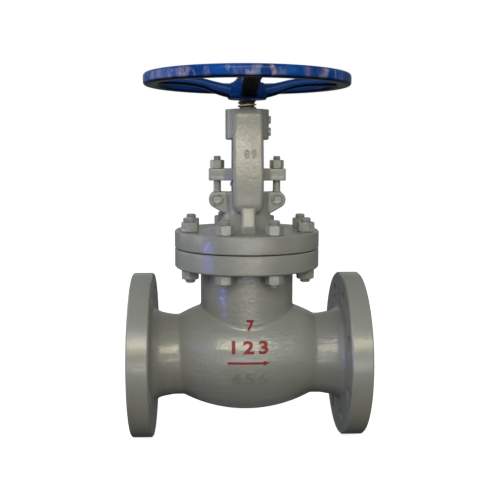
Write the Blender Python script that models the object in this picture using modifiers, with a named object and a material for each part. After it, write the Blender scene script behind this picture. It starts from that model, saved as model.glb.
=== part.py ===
"""A flanged globe valve with a bolted bonnet, an outside screw and yoke, and a rising handwheel.

Nominal size NPS 4, class 300. Units are metres and +Z is up. The pipe runs along X and the flow goes
towards +X. The origin is where the pipe's axis meets the stem's axis. The valve is modelled closed.
"""

from math import asin, cos, pi, radians, sin, sqrt

import bmesh
import bpy
from mathutils import Matrix, Vector

# Driving dimensions ------------------------------------------------------------------------------

GAP = 0.0003  # between solids that touch on the real valve
RUNNING = 0.0004  # radial clearance round what turns or slides

FACE_TO_FACE = 0.356
PIPE_BORE_R = 0.051
PIPE_FLANGE_R = 0.127
PIPE_FLANGE_BACK = 0.145  # distance of the flange's back face from the stem's axis
PIPE_HOLES = 8
PIPE_HOLE_R = 0.0111
PIPE_HOLE_CIRCLE_R = 0.100
RAISED_FACE_R = 0.0786
RAISED_FACE_HEIGHT = 0.0016
END_NECK_R = 0.0623
FLANGE_EDGE = 0.0018  # chamfer on the rims of the flanges

BULB_R = 0.088
BULB_ARC_R = 0.214  # lengthwise radius of the bulb's wall
BULB_RISE = 0.0022  # the bulb's middle is a little above the pipe's axis
BULB_HALF_LENGTH = 0.104
WALL = 0.0115

BODY_NECK_R = 0.0715
BONNET_JOINT_Z = 0.168  # top face of the body
BODY_FLANGE_LOW_Z = 0.1394
GASKET_R = 0.082
GASKET_THICKNESS = 0.0008
BONNET_FLANGE_R = 0.1108
BONNET_FLANGE_TOP_Z = 0.1958
SPIGOT_R = BODY_NECK_R - WALL - 0.0006
SPIGOT_LOW_Z = 0.151
BONNET_HOLLOW_R = 0.048
BONNET_STUDS = 8
STUD_CIRCLE_R = 0.0938
STUD_R = 0.008
STUD_HOLE_R = 0.0089
STUD_LOW_Z = 0.1195
STUD_HIGH_Z = 0.217
STUD_NUT_FLATS = 0.024
STUD_NUT_HEIGHT = 0.0144

WEB_HALF_THICKNESS = 0.006
SEAT_R = 0.047
SEAT_BODY_R = 0.0542
SEAT_FLANGE_R = 0.0578
SEAT_TOP_Z = 0.0135
SEAT_CONE = 0.003  # height and width of the 45 degree seating face
LIFT = 0.030  # the disc's travel from closed to fully open

DISC_R = 0.056
DISC_TOP_Z = 0.026
DISC_HUB_R = 0.031
DISC_HUB_TOP_Z = 0.058
DISC_SOCKET_R = 0.024
DISC_SOCKET_LOW_Z = 0.030
DISC_NUT_HEAD_HEIGHT = 0.0072
THRUST_PAD_R = 0.012
THRUST_PAD_HEIGHT = 0.0031

STEM_R = 0.014
STEM_HEAD_R = 0.020
STEM_HEAD_HEIGHT = 0.0093
STEM_SHOULDER_R = 0.018
STEM_TOP_R = 0.009
STEM_TOP_Z = 0.4435
STEM_HOLE_R = 0.015  # through the bonnet
GLAND_HOLE_R = 0.0152  # through the gland flange
STEM_SQUARE = 0.019  # across the flats that drive the handwheel

BACKSEAT_R = 0.0205
BACKSEAT_LOW_Z = 0.1725
BACKSEAT_TOP_Z = 0.193
STUFFING_BOX_R = 0.022
STUFFING_BOX_LOW_Z = 0.200
STUFFING_BOX_TOP_Z = 0.2535
BONNET_NECK_R = 0.0345
PACKING_WASHER_HEIGHT = 0.0034
PACKING_RINGS = 5
PACKING_RING_HEIGHT = 0.0079
GLAND_COLLAR_R = 0.0258
GLAND_COLLAR_LOW_Z = 0.2625

GLAND_FLANGE_LOW_Z = 0.2712
GLAND_FLANGE_TOP_Z = 0.2892
GLAND_FLANGE_HALF_LENGTH = 0.0585
GLAND_FLANGE_HALF_WIDTH = 0.027
GLAND_FLANGE_END_HALF_WIDTH = 0.0145
EYEBOLT_X = 0.0455
EYEBOLT_R = 0.0057
EYEBOLT_PIN_Z = 0.242
EYEBOLT_TOP_Z = 0.3082
EYE_R = 0.0105
EYE_HALF_WIDTH = 0.006
EYEBOLT_SLOT_R = 0.0068
EYEBOLT_NUT_FLATS = 0.019
EYEBOLT_NUT_HEIGHT = 0.0127
PIN_R = 0.0052
PIN_HALF_LENGTH = 0.0192
EAR_INNER_Y = 0.0065
EAR_OUTER_Y = 0.016
EAR_R = 0.013
EAR_BOSS_R = 0.0085
EAR_BOSS_HEIGHT = 0.0014

YOKE_ARM_HALF_WIDTH = 0.0228
YOKE_ARM_EDGE = 0.007
YOKE_BOSS_R = 0.033
YOKE_RIB_HALF_WIDTH = 0.0095
YOKE_BOSS_LOW_Z = 0.3325
YOKE_BOSS_TOP_Z = 0.3775
YOKE_NUT_R = 0.0200
YOKE_NUT_COLLAR_R = 0.0245
YOKE_NUT_COLLAR_HEIGHT = 0.0045

WHEEL_R = 0.156
WHEEL_LOW_Z = 0.4105
RIM_HEIGHT = 0.0193
RIM_WIDTH = 0.022
SPOKES = 4
SPOKE_HALF_WIDTH = 0.010
SPOKE_HALF_HEIGHT = 0.0070
HUB_R = 0.0295
HUB_LOW_Z = 0.3927
HUB_TOP_Z = 0.4205
WHEEL_WASHER_R = 0.017
WHEEL_WASHER_HEIGHT = 0.0025
WHEEL_NUT_FLATS = 0.027
WHEEL_NUT_HEIGHT = 0.0145

BIG_STEPS = 40  # facets round the body, the bonnet and the handwheel's rim
MIDDLE_STEPS = 24
SMALL_STEPS = 12
ARC_POINTS = 9

ALONG_X = (0, pi / 2, 0)  # turns a shape made round Z so that its +Z end points along +X
ALONG_Y = (-pi / 2, 0, 0)
UPRIGHT = (0, -pi / 2, 0)  # turns an outline of (z, y) points so that it stands across X


# Scene -------------------------------------------------------------------------------------------


def clear_scene():
    for item in list(bpy.data.objects):
        bpy.data.objects.remove(item, do_unlink=True)


def new_collection(name):
    collection = bpy.data.collections.new(name)
    bpy.context.scene.collection.children.link(collection)
    return collection


def new_material(name, colour, roughness, metallic):
    material = bpy.data.materials.new(name)
    material.use_nodes = True
    shader = material.node_tree.nodes["Principled BSDF"]
    shader.inputs["Base Color"].default_value = (*colour, 1)
    shader.inputs["Roughness"].default_value = roughness
    shader.inputs["Metallic"].default_value = metallic
    return material


clear_scene()
VALVE = new_collection("globe_valve")
CUTTERS = new_collection("cutters")
MATERIALS = {
    "grey_paint": new_material("grey_paint", (0.27, 0.265, 0.235), 0.5, 0.0),
    "blue_paint": new_material("blue_paint", (0.008, 0.055, 0.32), 0.22, 0.0),
    "stem_steel": new_material("stem_steel", (0.30, 0.27, 0.23), 0.38, 1.0),
    "trim_steel": new_material("trim_steel", (0.52, 0.51, 0.49), 0.3, 1.0),
    "bronze": new_material("bronze", (0.55, 0.36, 0.15), 0.35, 1.0),
    "graphite": new_material("graphite", (0.035, 0.035, 0.04), 0.6, 0.2),
    "dark_steel": new_material("dark_steel", (0.06, 0.06, 0.065), 0.45, 0.8),
}


# Shape helpers -----------------------------------------------------------------------------------


def place(obj, location=(0, 0, 0), rotation=(0, 0, 0)):
    obj.location = location
    obj.rotation_euler = rotation
    return obj


def as_node(obj, name, material):
    """Makes an object a named piece of the valve."""
    obj.name = name
    CUTTERS.objects.unlink(obj)
    VALVE.objects.link(obj)
    obj.hide_render = False
    obj.display_type = "TEXTURED"
    obj["material"] = material
    return obj


def helper_object(name, mesh):
    obj = bpy.data.objects.new(name, mesh)
    obj.hide_render = True
    obj.display_type = "WIRE"
    CUTTERS.objects.link(obj)
    return obj


def from_bmesh(name, bm):
    mesh = bpy.data.meshes.new(name)
    bm.to_mesh(mesh)
    bm.free()
    return helper_object(name, mesh)


def turned(name, profile, steps, ring=False):
    """Turns (radius, z) points round Z. They run down the outer side, and a ring's come back up its bore."""
    count = len(profile)
    edges = [(i, (i + 1) % count) for i in range(count if ring else count - 1)]
    mesh = bpy.data.meshes.new(name)
    mesh.from_pydata([(r, 0, z) for r, z in profile], edges, [])
    obj = helper_object(name, mesh)
    screw = obj.modifiers.new("Turn", "SCREW")
    screw.steps = screw.render_steps = steps
    screw.use_merge_vertices = True
    screw.merge_threshold = 0.00001
    return obj


def cylinder(name, radius, low, high, steps):
    return turned(name, [(0, high), (radius, high), (radius, low), (0, low)], steps)


def tube(name, outer, inner, low, high, steps):
    profile = [(outer, high), (outer, low), (inner, low), (inner, high)]
    return turned(name, profile, steps, ring=True)


def box(name, low, high):
    bm = bmesh.new()
    size = Vector(high) - Vector(low)
    middle = (Vector(high) + Vector(low)) / 2
    matrix = Matrix.Translation(middle) @ Matrix.Diagonal((*size, 1))
    bmesh.ops.create_cube(bm, size=1, matrix=matrix)
    return from_bmesh(name, bm)


def plate(name, outline, low, high):
    """A flat outline in X and Y, thickened from low to high along Z."""
    bm = bmesh.new()
    corners = [bm.verts.new((x, y, low)) for x, y in outline]
    face = bm.faces.new(corners)
    top = bmesh.ops.extrude_face_region(bm, geom=[face])["geom"]
    moved = [item for item in top if isinstance(item, bmesh.types.BMVert)]
    bmesh.ops.translate(bm, verts=moved, vec=(0, 0, high - low))
    bmesh.ops.recalc_face_normals(bm, faces=bm.faces)
    return from_bmesh(name, bm)


def hexagon(name, flats, low, high):
    bm = bmesh.new()
    middle = Matrix.Translation((0, 0, (low + high) / 2))
    radius = flats / sqrt(3)
    bmesh.ops.create_cone(
        bm, cap_ends=True, segments=6, radius1=radius, radius2=radius, depth=high - low, matrix=middle
    )
    return from_bmesh(name, bm)


def round_the_circle(make, count, circle_r, first=0.5):
    """Cutters at even angles round Z; first is where the first one is, in steps from +X."""
    cutters = []
    for i in range(count):
        angle = 2 * pi * (i + first) / count
        cutters.append(place(make(i), (circle_r * cos(angle), circle_r * sin(angle), 0)))
    return cutters


def boolean(obj, other, operation):
    modifier = obj.modifiers.new(other.name, "BOOLEAN")
    modifier.operation = operation
    modifier.solver = "EXACT"
    modifier.object = other
    return obj


def join(obj, *others):
    for other in others:
        boolean(obj, other, "UNION")
    return obj


def cut(obj, *others):
    for other in others:
        boolean(obj, other, "DIFFERENCE")
    return obj


def arc(radius, middle_r, half_length, points):
    """(radius, z) points down a bulging wall whose lengthwise radius is given."""
    line = []
    for i in range(points):
        z = half_length - 2 * half_length * i / (points - 1)
        line.append((middle_r - (radius - sqrt(radius**2 - z**2)), z))
    return line


def mirrored(line):
    """The same points below z = 0, in the order that carries on down."""
    return line + [(r, -z) for r, z in reversed(line)]


# Body --------------------------------------------------------------------------------------------


def pipe_run():
    """The two pipe flanges and the end necks, turned about the pipe's axis."""
    face = FACE_TO_FACE / 2
    front = face - RAISED_FACE_HEIGHT
    half = [
        (0, face),
        (RAISED_FACE_R, face),
        (RAISED_FACE_R, front),
        (PIPE_FLANGE_R - FLANGE_EDGE, front),
        (PIPE_FLANGE_R, front - FLANGE_EDGE),
        (PIPE_FLANGE_R, PIPE_FLANGE_BACK + FLANGE_EDGE),
        (PIPE_FLANGE_R - FLANGE_EDGE, PIPE_FLANGE_BACK),
        (0.0715, PIPE_FLANGE_BACK),
        (0.0678, 0.140),
        (0.0645, 0.128),
        (END_NECK_R, 0.112),
        (END_NECK_R, 0.095),
    ]
    return place(turned("pipe_run", mirrored(half), BIG_STEPS), rotation=ALONG_X)


def bulb():
    wall = arc(BULB_ARC_R, BULB_R, BULB_HALF_LENGTH, ARC_POINTS)
    profile = [(0, BULB_HALF_LENGTH), *wall, (0, -BULB_HALF_LENGTH)]
    return place(turned("bulb", profile, BIG_STEPS), (0, 0, BULB_RISE), ALONG_X)


def body_neck():
    profile = [
        (0, BONNET_JOINT_Z),
        (BONNET_FLANGE_R - FLANGE_EDGE, BONNET_JOINT_Z),
        (BONNET_FLANGE_R, BONNET_JOINT_Z - FLANGE_EDGE),
        (BONNET_FLANGE_R, BODY_FLANGE_LOW_Z + FLANGE_EDGE),
        (BONNET_FLANGE_R - FLANGE_EDGE, BODY_FLANGE_LOW_Z),
        (BODY_NECK_R + 0.004, BODY_FLANGE_LOW_Z),
        (BODY_NECK_R, BODY_FLANGE_LOW_Z - 0.004),
        (BODY_NECK_R, 0.040),
        (0, 0.040),
    ]
    return turned("body_neck", profile, BIG_STEPS)


def web():
    """The S-shaped wall between the inlet and the outlet, with its flat part under the seat."""
    end_low, end_high = 0.070, 0.082
    slope_low, slope_high = 0.060, 0.064
    half_s = [
        (-end_high, 0.085),
        (-end_low, 0.085),
        (-slope_low, WEB_HALF_THICKNESS),
        (slope_high, WEB_HALF_THICKNESS),
    ]
    outline = half_s + [(-x, -z) for x, z in half_s]
    wall = plate("web", [(x, -z) for x, z in outline], -0.080, 0.080)
    return place(wall, rotation=ALONG_Y)


def body_cavity():
    face = FACE_TO_FACE / 2 + 0.005
    inner_r = BULB_R - BULB_RISE - WALL  # leaves the full wall at the bottom
    wall = [p for p in arc(BULB_ARC_R - WALL, inner_r, 0.098, ARC_POINTS) if p[0] > PIPE_BORE_R]
    profile = [(0, face), (PIPE_BORE_R, face), (PIPE_BORE_R, 0.096)]
    profile += [*wall, (PIPE_BORE_R, -0.096), (PIPE_BORE_R, -face), (0, -face)]
    cavity = place(turned("cavity", profile, MIDDLE_STEPS + 8), rotation=ALONG_X)
    chamber = cylinder("chamber", BODY_NECK_R - WALL, 0.008, BONNET_JOINT_Z + 0.005, MIDDLE_STEPS + 8)
    return cut(join(cavity, chamber), web())


def pipe_holes():
    low, high = -FACE_TO_FACE / 2 - 0.004, FACE_TO_FACE / 2 + 0.004
    ends = ((low, -PIPE_FLANGE_BACK + 0.004), (PIPE_FLANGE_BACK - 0.004, high))
    cutters = []
    for start, stop in ends:
        for i in range(PIPE_HOLES):
            angle = 2 * pi * (i + 0.5) / PIPE_HOLES
            hole = cylinder("pipe_hole", PIPE_HOLE_R, start, stop, SMALL_STEPS)
            y, z = PIPE_HOLE_CIRCLE_R * cos(angle), PIPE_HOLE_CIRCLE_R * sin(angle)
            cutters.append(place(hole, (0, y, z), ALONG_X))
    return cutters


def stud_holes(low, high):
    return round_the_circle(
        lambda i: cylinder("stud_hole", STUD_HOLE_R, low, high, SMALL_STEPS), BONNET_STUDS, STUD_CIRCLE_R
    )


def make_body():
    body = join(pipe_run(), bulb(), body_neck())
    seat_hole = cylinder("seat_hole", SEAT_BODY_R + GAP, -0.020, 0.020, MIDDLE_STEPS + 8)
    cut(body, body_cavity(), seat_hole, *pipe_holes())
    cut(body, *stud_holes(BODY_FLANGE_LOW_Z - 0.008, BONNET_JOINT_Z + 0.006))
    return as_node(body, "body", "grey_paint")


def make_seat_ring():
    profile = [
        (SEAT_R + SEAT_CONE, SEAT_TOP_Z),
        (SEAT_FLANGE_R, SEAT_TOP_Z),
        (SEAT_FLANGE_R, WEB_HALF_THICKNESS + GAP),
        (SEAT_BODY_R, WEB_HALF_THICKNESS + GAP),
        (SEAT_BODY_R, -WEB_HALF_THICKNESS - 0.002),
        (SEAT_R, -WEB_HALF_THICKNESS - 0.002),
        (SEAT_R, SEAT_TOP_Z - SEAT_CONE),
    ]
    return as_node(turned("ring", profile, MIDDLE_STEPS + 8, ring=True), "seat_ring", "trim_steel")


# Disc, stem and what joins them ------------------------------------------------------------------


def make_disc():
    rest = 0.0002  # the seating faces are this far apart across each axis
    profile = [
        (DISC_SOCKET_R, DISC_HUB_TOP_Z),
        (DISC_HUB_R, DISC_HUB_TOP_Z),
        (DISC_HUB_R, DISC_TOP_Z + 0.004),
        (DISC_HUB_R + 0.004, DISC_TOP_Z),
        (DISC_R, DISC_TOP_Z - 0.001),
        (DISC_R, SEAT_TOP_Z + GAP),
        (SEAT_R + SEAT_CONE - rest, SEAT_TOP_Z + GAP),
        (SEAT_R - rest, SEAT_TOP_Z - SEAT_CONE + rest),
        (0, SEAT_TOP_Z - SEAT_CONE + rest),
    ]
    socket = [(0, DISC_SOCKET_LOW_Z), (DISC_SOCKET_R, DISC_SOCKET_LOW_Z)]
    disc = turned("plug", socket + profile, MIDDLE_STEPS + 8)
    return as_node(disc, "disc", "trim_steel")


def make_thrust_pad():
    low = DISC_SOCKET_LOW_Z + GAP
    pad = cylinder("pad", THRUST_PAD_R, low, low + THRUST_PAD_HEIGHT, MIDDLE_STEPS)
    return as_node(pad, "thrust_pad", "bronze")


def stem_head_z():
    low = DISC_SOCKET_LOW_Z + 2 * GAP + THRUST_PAD_HEIGHT
    return low, low + STEM_HEAD_HEIGHT


def make_disc_nut():
    """The nut that keeps the stem's head in the disc, so that the stem can turn while the disc doesn't."""
    low = stem_head_z()[1] + RUNNING
    head = DISC_HUB_TOP_Z + GAP
    nut = join(
        cylinder("disc_nut_thread", DISC_SOCKET_R - GAP, low, head + 0.001, MIDDLE_STEPS),
        hexagon("disc_nut_head", 2 * (DISC_HUB_R - 0.004), head, head + DISC_NUT_HEAD_HEIGHT),
    )
    cut(nut, cylinder("disc_nut_bore", STEM_R + RUNNING, low - 0.01, head + 0.02, MIDDLE_STEPS))
    return as_node(nut, "disc_nut", "trim_steel")


def make_stem():
    """The thread is a plain cylinder of its outside diameter."""
    head_low, head_high = stem_head_z()
    shoulder_top = BACKSEAT_LOW_Z - LIFT - 0.001
    cone = STEM_SHOULDER_R - STEM_R
    profile = [
        (0, STEM_TOP_Z),
        (STEM_TOP_R - 0.0015, STEM_TOP_Z),
        (STEM_TOP_R, STEM_TOP_Z - 0.0015),
        (STEM_TOP_R, HUB_LOW_Z - 0.001),
        (STEM_R - 0.001, HUB_LOW_Z - 0.001),
        (STEM_R, HUB_LOW_Z - 0.002),
        (STEM_R, shoulder_top + cone),
        (STEM_SHOULDER_R, shoulder_top),
        (STEM_SHOULDER_R, shoulder_top - 0.006),
        (STEM_R, shoulder_top - 0.006 - cone),
        (STEM_R, head_high),
        (STEM_HEAD_R, head_high),
        (STEM_HEAD_R, head_low),
        (0, head_low),
    ]
    stem = turned("spindle", profile, MIDDLE_STEPS)
    half = STEM_SQUARE / 2
    square = box("stem_square", (-half, -half, HUB_LOW_Z - 0.0015), (half, half, HUB_TOP_Z - 0.002))
    return as_node(join(stem, square), "stem", "stem_steel")


# Bonnet with its yoke ----------------------------------------------------------------------------


def bonnet_shell():
    profile = [
        (0, STUFFING_BOX_TOP_Z),
        (BONNET_NECK_R - 0.001, STUFFING_BOX_TOP_Z),
        (BONNET_NECK_R, STUFFING_BOX_TOP_Z - 0.001),
        (BONNET_NECK_R, 0.2240),
        (0.0372, 0.2150),
        (0.0425, 0.2065),
        (0.0510, 0.1995),
        (0.0620, BONNET_FLANGE_TOP_Z),
        (BONNET_FLANGE_R - FLANGE_EDGE, BONNET_FLANGE_TOP_Z),
        (BONNET_FLANGE_R, BONNET_FLANGE_TOP_Z - FLANGE_EDGE),
        (BONNET_FLANGE_R, bonnet_face_z() + FLANGE_EDGE),
        (BONNET_FLANGE_R - FLANGE_EDGE, bonnet_face_z()),
        (SPIGOT_R, bonnet_face_z()),
        (SPIGOT_R, SPIGOT_LOW_Z),
        (0, SPIGOT_LOW_Z),
    ]
    return turned("bonnet_shell", profile, BIG_STEPS)


def bonnet_face_z():
    return BONNET_JOINT_Z + GASKET_THICKNESS + 2 * GAP


def bonnet_bore():
    """The stuffing box, the backseat bush's seat and the hollow that the disc rises into."""
    profile = [
        (0, STUFFING_BOX_TOP_Z + 0.004),
        (STUFFING_BOX_R, STUFFING_BOX_TOP_Z + 0.004),
        (STUFFING_BOX_R, STUFFING_BOX_LOW_Z),
        (STEM_HOLE_R, STUFFING_BOX_LOW_Z),
        (STEM_HOLE_R, BACKSEAT_TOP_Z),
        (BACKSEAT_R, BACKSEAT_TOP_Z),
        (BACKSEAT_R, 0.176),
        (0.030, 0.174),
        (0.043, 0.167),
        (BONNET_HOLLOW_R, 0.158),
        (BONNET_HOLLOW_R, SPIGOT_LOW_Z - 0.006),
        (0, SPIGOT_LOW_Z - 0.006),
    ]
    return turned("bonnet_bore", profile, MIDDLE_STEPS)


def yoke_arm(side):
    """One arm, an outline across Y and Z. It bows out past the gland and comes in to the boss."""
    outline = [
        (0.0400, 0.2205),
        (0.0470, 0.2240),
        (0.0515, 0.2300),
        (0.0535, 0.2450),
        (0.0535, 0.2650),
        (0.0510, 0.2900),
        (0.0460, 0.3150),
        (0.0405, 0.3325),
        (0.0375, 0.3480),
        (0.0365, 0.3620),
        (0.0345, 0.3740),
        (0.0300, 0.3765),
        (0.0150, 0.3765),
        (0.0150, 0.3410),
        (0.0262, 0.3410),
        (0.0280, 0.3260),
        (0.0320, 0.3140),
        (0.0355, 0.2950),
        (0.0370, 0.2700),
        (0.0350, 0.2560),
        (0.0250, 0.2500),
        (0.0250, 0.2205),
    ]
    half = YOKE_ARM_HALF_WIDTH
    arm = plate("yoke_arm", [(z, side * y) for y, z in outline], -half, half)
    place(arm, rotation=UPRIGHT)
    edge = arm.modifiers.new("Rounded edges", "BEVEL")
    edge.width = YOKE_ARM_EDGE
    edge.segments = 3
    edge.limit_method = "ANGLE"
    edge.angle_limit = radians(60)
    return arm


def yoke_boss():
    profile = [
        (0, YOKE_BOSS_TOP_Z),
        (YOKE_BOSS_R - 0.0015, YOKE_BOSS_TOP_Z),
        (YOKE_BOSS_R, YOKE_BOSS_TOP_Z - 0.0015),
        (YOKE_BOSS_R, YOKE_BOSS_LOW_Z + 0.0015),
        (YOKE_BOSS_R - 0.0015, YOKE_BOSS_LOW_Z),
        (0, YOKE_BOSS_LOW_Z),
    ]
    return turned("yoke_boss", profile, MIDDLE_STEPS + 8)


def yoke_rib(side):
    """The rib under each arm, down to the bonnet's flange."""
    outline = [
        (0.0510, 0.2335),
        (0.0530, 0.2150),
        (0.0590, 0.2025),
        (0.0680, 0.1940),
        (0.0400, 0.1940),
        (0.0360, 0.2335),
    ]
    half = YOKE_RIB_HALF_WIDTH
    rib = plate("yoke_rib", [(z, side * y) for y, z in outline], -half, half)
    return place(rib, rotation=UPRIGHT)


def gland_bolt_lug(side):
    """A round-ended lug that runs out from the neck, and a boss round the pin on each of its faces."""
    rise = 0.0119  # the lug's flat top is this far above the pin
    top_angle, low_angle = asin(rise / EAR_R), radians(-60)
    points = 8
    outline = [(0.030, rise)]
    for i in range(points + 1):
        angle = top_angle + (low_angle - top_angle) * i / points
        outline.append((EYEBOLT_X + EAR_R * cos(angle), EAR_R * sin(angle)))
    outline += [(0.0375, -0.0195), (0.030, -0.0205)]
    lug = plate("lug", [(side * x, -z) for x, z in outline], -EAR_OUTER_Y, EAR_OUTER_Y)
    place(lug, (0, 0, EYEBOLT_PIN_Z), ALONG_Y)
    outer = EAR_OUTER_Y + EAR_BOSS_HEIGHT
    boss = cylinder("lug_boss", EAR_BOSS_R, -outer, outer, MIDDLE_STEPS - 8)
    place(boss, (side * EYEBOLT_X, 0, EYEBOLT_PIN_Z), ALONG_Y)
    return [lug, boss]


def lug_cutters(side):
    slot_low = (min(side * 0.0340, side * 0.062), -EAR_INNER_Y, 0.2275)
    slot_high = (max(side * 0.0340, side * 0.062), EAR_INNER_Y, 0.262)
    hole = cylinder("pin_hole", PIN_R + GAP, -0.03, 0.03, SMALL_STEPS)
    place(hole, (side * EYEBOLT_X, 0, EYEBOLT_PIN_Z), ALONG_Y)
    return [box("eye_slot", slot_low, slot_high), hole]


def make_bonnet():
    bonnet = join(bonnet_shell(), yoke_boss())
    for side in (-1, 1):
        join(bonnet, yoke_arm(side), yoke_rib(side), *gland_bolt_lug(side))
    boss_bore_low, boss_bore_high = YOKE_BOSS_LOW_Z - 0.004, YOKE_BOSS_TOP_Z + 0.004
    cut(bonnet, bonnet_bore())
    cut(bonnet, cylinder("boss_bore", YOKE_NUT_R + GAP, boss_bore_low, boss_bore_high, MIDDLE_STEPS))
    for side in (-1, 1):
        cut(bonnet, *lug_cutters(side))
    cut(bonnet, *stud_holes(BONNET_JOINT_Z - 0.004, BONNET_FLANGE_TOP_Z + 0.008))
    return as_node(bonnet, "bonnet", "grey_paint")


def make_yoke_nut():
    """The bush that the stem screws through. Its collar bears on the underside of the yoke's boss."""
    collar_top = YOKE_BOSS_LOW_Z - GAP
    profile = [
        (YOKE_NUT_R, YOKE_BOSS_TOP_Z + 0.001),
        (YOKE_NUT_R, collar_top),
        (YOKE_NUT_COLLAR_R, collar_top),
        (YOKE_NUT_COLLAR_R, collar_top - YOKE_NUT_COLLAR_HEIGHT),
        (STEM_R + RUNNING, collar_top - YOKE_NUT_COLLAR_HEIGHT),
        (STEM_R + RUNNING, YOKE_BOSS_TOP_Z + 0.001),
    ]
    return as_node(turned("bush", profile, MIDDLE_STEPS, ring=True), "yoke_nut", "bronze")


def make_bonnet_gasket():
    low, high = BONNET_JOINT_Z + GAP, BONNET_JOINT_Z + GAP + GASKET_THICKNESS
    ring = tube("joint_ring", GASKET_R, BODY_NECK_R - WALL + 0.001, low, high, MIDDLE_STEPS + 8)
    return as_node(ring, "bonnet_gasket", "graphite")


def make_backseat_bush():
    inner = STEM_R + RUNNING
    cone = STEM_SHOULDER_R - STEM_R
    profile = [
        (BACKSEAT_R - GAP, BACKSEAT_TOP_Z - GAP),
        (BACKSEAT_R - GAP, BACKSEAT_LOW_Z),
        (inner + cone, BACKSEAT_LOW_Z),
        (inner, BACKSEAT_LOW_Z + cone),
        (inner, BACKSEAT_TOP_Z - GAP),
    ]
    return as_node(turned("backseat", profile, MIDDLE_STEPS, ring=True), "backseat_bush", "bronze")


# Packing and gland -------------------------------------------------------------------------------


def make_packing():
    outer, inner = STUFFING_BOX_R - GAP, STEM_R + RUNNING
    low = STUFFING_BOX_LOW_Z + GAP
    washer = tube("washer", outer, inner, low, low + PACKING_WASHER_HEIGHT, MIDDLE_STEPS)
    as_node(washer, "packing_washer", "trim_steel")
    low += PACKING_WASHER_HEIGHT + GAP
    for i in range(PACKING_RINGS):
        ring = tube("packing", outer, inner, low, low + PACKING_RING_HEIGHT, MIDDLE_STEPS)
        as_node(ring, f"packing_ring_{i + 1}", "graphite")
        low += PACKING_RING_HEIGHT + GAP
    return low


def make_gland(low):
    """The sleeve that presses the packing, with a collar under the gland flange."""
    inner = STEM_R + RUNNING
    top = GLAND_FLANGE_LOW_Z - GAP
    profile = [
        (GLAND_COLLAR_R - 0.003, top),
        (GLAND_COLLAR_R, top - 0.003),
        (GLAND_COLLAR_R, GLAND_COLLAR_LOW_Z),
        (STUFFING_BOX_R - GAP, GLAND_COLLAR_LOW_Z),
        (STUFFING_BOX_R - GAP, low),
        (inner, low),
        (inner, top),
    ]
    return as_node(turned("sleeve", profile, MIDDLE_STEPS, ring=True), "gland", "grey_paint")


def make_gland_flange():
    """A bar that is wide round the stem and narrow at its ends, which are slotted for the eyebolts."""
    length, width, end = GLAND_FLANGE_HALF_LENGTH, GLAND_FLANGE_HALF_WIDTH, GLAND_FLANGE_END_HALF_WIDTH
    corner = 0.003
    quarter = [(length, end - corner), (length - corner, end), (0.034, end + 0.0005), (0.020, width - 0.002)]
    quarter.append((0.009, width))
    right = [(x, -y) for x, y in quarter]
    outline = right[::-1] + quarter
    outline += [(-x, y) for x, y in reversed(quarter)] + [(-x, -y) for x, y in quarter]
    flange = plate("gland_bar", outline, GLAND_FLANGE_LOW_Z, GLAND_FLANGE_TOP_Z)
    low, high = GLAND_FLANGE_LOW_Z - 0.004, GLAND_FLANGE_TOP_Z + 0.004
    cut(flange, cylinder("gland_stem_hole", GLAND_HOLE_R, low, high, MIDDLE_STEPS))
    for side in (-1, 1):
        end_of_slot = cylinder("slot_end", EYEBOLT_SLOT_R, low, high, SMALL_STEPS)
        place(end_of_slot, (side * EYEBOLT_X, 0, 0))
        near, far = side * EYEBOLT_X, side * (GLAND_FLANGE_HALF_LENGTH + 0.004)
        slot_low = (min(near, far), -EYEBOLT_SLOT_R, low)
        slot_high = (max(near, far), EYEBOLT_SLOT_R, high)
        cut(flange, join(end_of_slot, box("slot", slot_low, slot_high)))
    return as_node(flange, "gland_flange", "grey_paint")


def make_eyebolt(side, name):
    """The bolt hangs on its pin, and its origin is on the pin's axis."""
    eye = place(cylinder("eye", EYE_R, -EYE_HALF_WIDTH, EYE_HALF_WIDTH, MIDDLE_STEPS - 8), rotation=ALONG_Y)
    top = EYEBOLT_TOP_Z - EYEBOLT_PIN_Z
    profile = [(0, top), (EYEBOLT_R - 0.001, top), (EYEBOLT_R, top - 0.001), (EYEBOLT_R, 0), (0, 0)]
    shank = turned("shank", profile, SMALL_STEPS)
    hole = cylinder("eye_hole", PIN_R + RUNNING, -0.01, 0.01, SMALL_STEPS)
    place(hole, rotation=ALONG_Y)
    pivot = bpy.data.objects.new(f"{name}_pivot", None)
    pivot.location = (side * EYEBOLT_X, 0, EYEBOLT_PIN_Z)
    VALVE.objects.link(pivot)
    cut(join(eye, shank), hole)
    for item in (eye, shank, hole):
        item.parent = pivot
    return as_node(eye, name, "grey_paint")


def make_eyebolt_nut(side, name):
    low = GLAND_FLANGE_TOP_Z + GAP
    nut = hexagon("gland_nut", EYEBOLT_NUT_FLATS, low, low + EYEBOLT_NUT_HEIGHT)
    bore = cylinder("gland_nut_bore", EYEBOLT_R + GAP, low - 0.005, low + 0.02, SMALL_STEPS)
    for item in (nut, bore):
        item.location = (side * EYEBOLT_X, 0, 0)
    return as_node(cut(nut, bore), name, "grey_paint")


def make_eyebolt_pin(side, name):
    edge = 0.001
    half = PIN_HALF_LENGTH
    profile = [
        (0, half),
        (PIN_R - edge, half),
        (PIN_R, half - edge),
        (PIN_R, edge - half),
        (PIN_R - edge, -half),
        (0, -half),
    ]
    pin = place(turned("hinge_pin", profile, SMALL_STEPS), (side * EYEBOLT_X, 0, EYEBOLT_PIN_Z), ALONG_Y)
    return as_node(pin, name, "grey_paint")


# Bonnet studs and nuts ---------------------------------------------------------------------------


def evaluated_mesh(obj):
    graph = bpy.context.evaluated_depsgraph_get()
    return bpy.data.meshes.new_from_object(obj.evaluated_get(graph))


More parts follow.
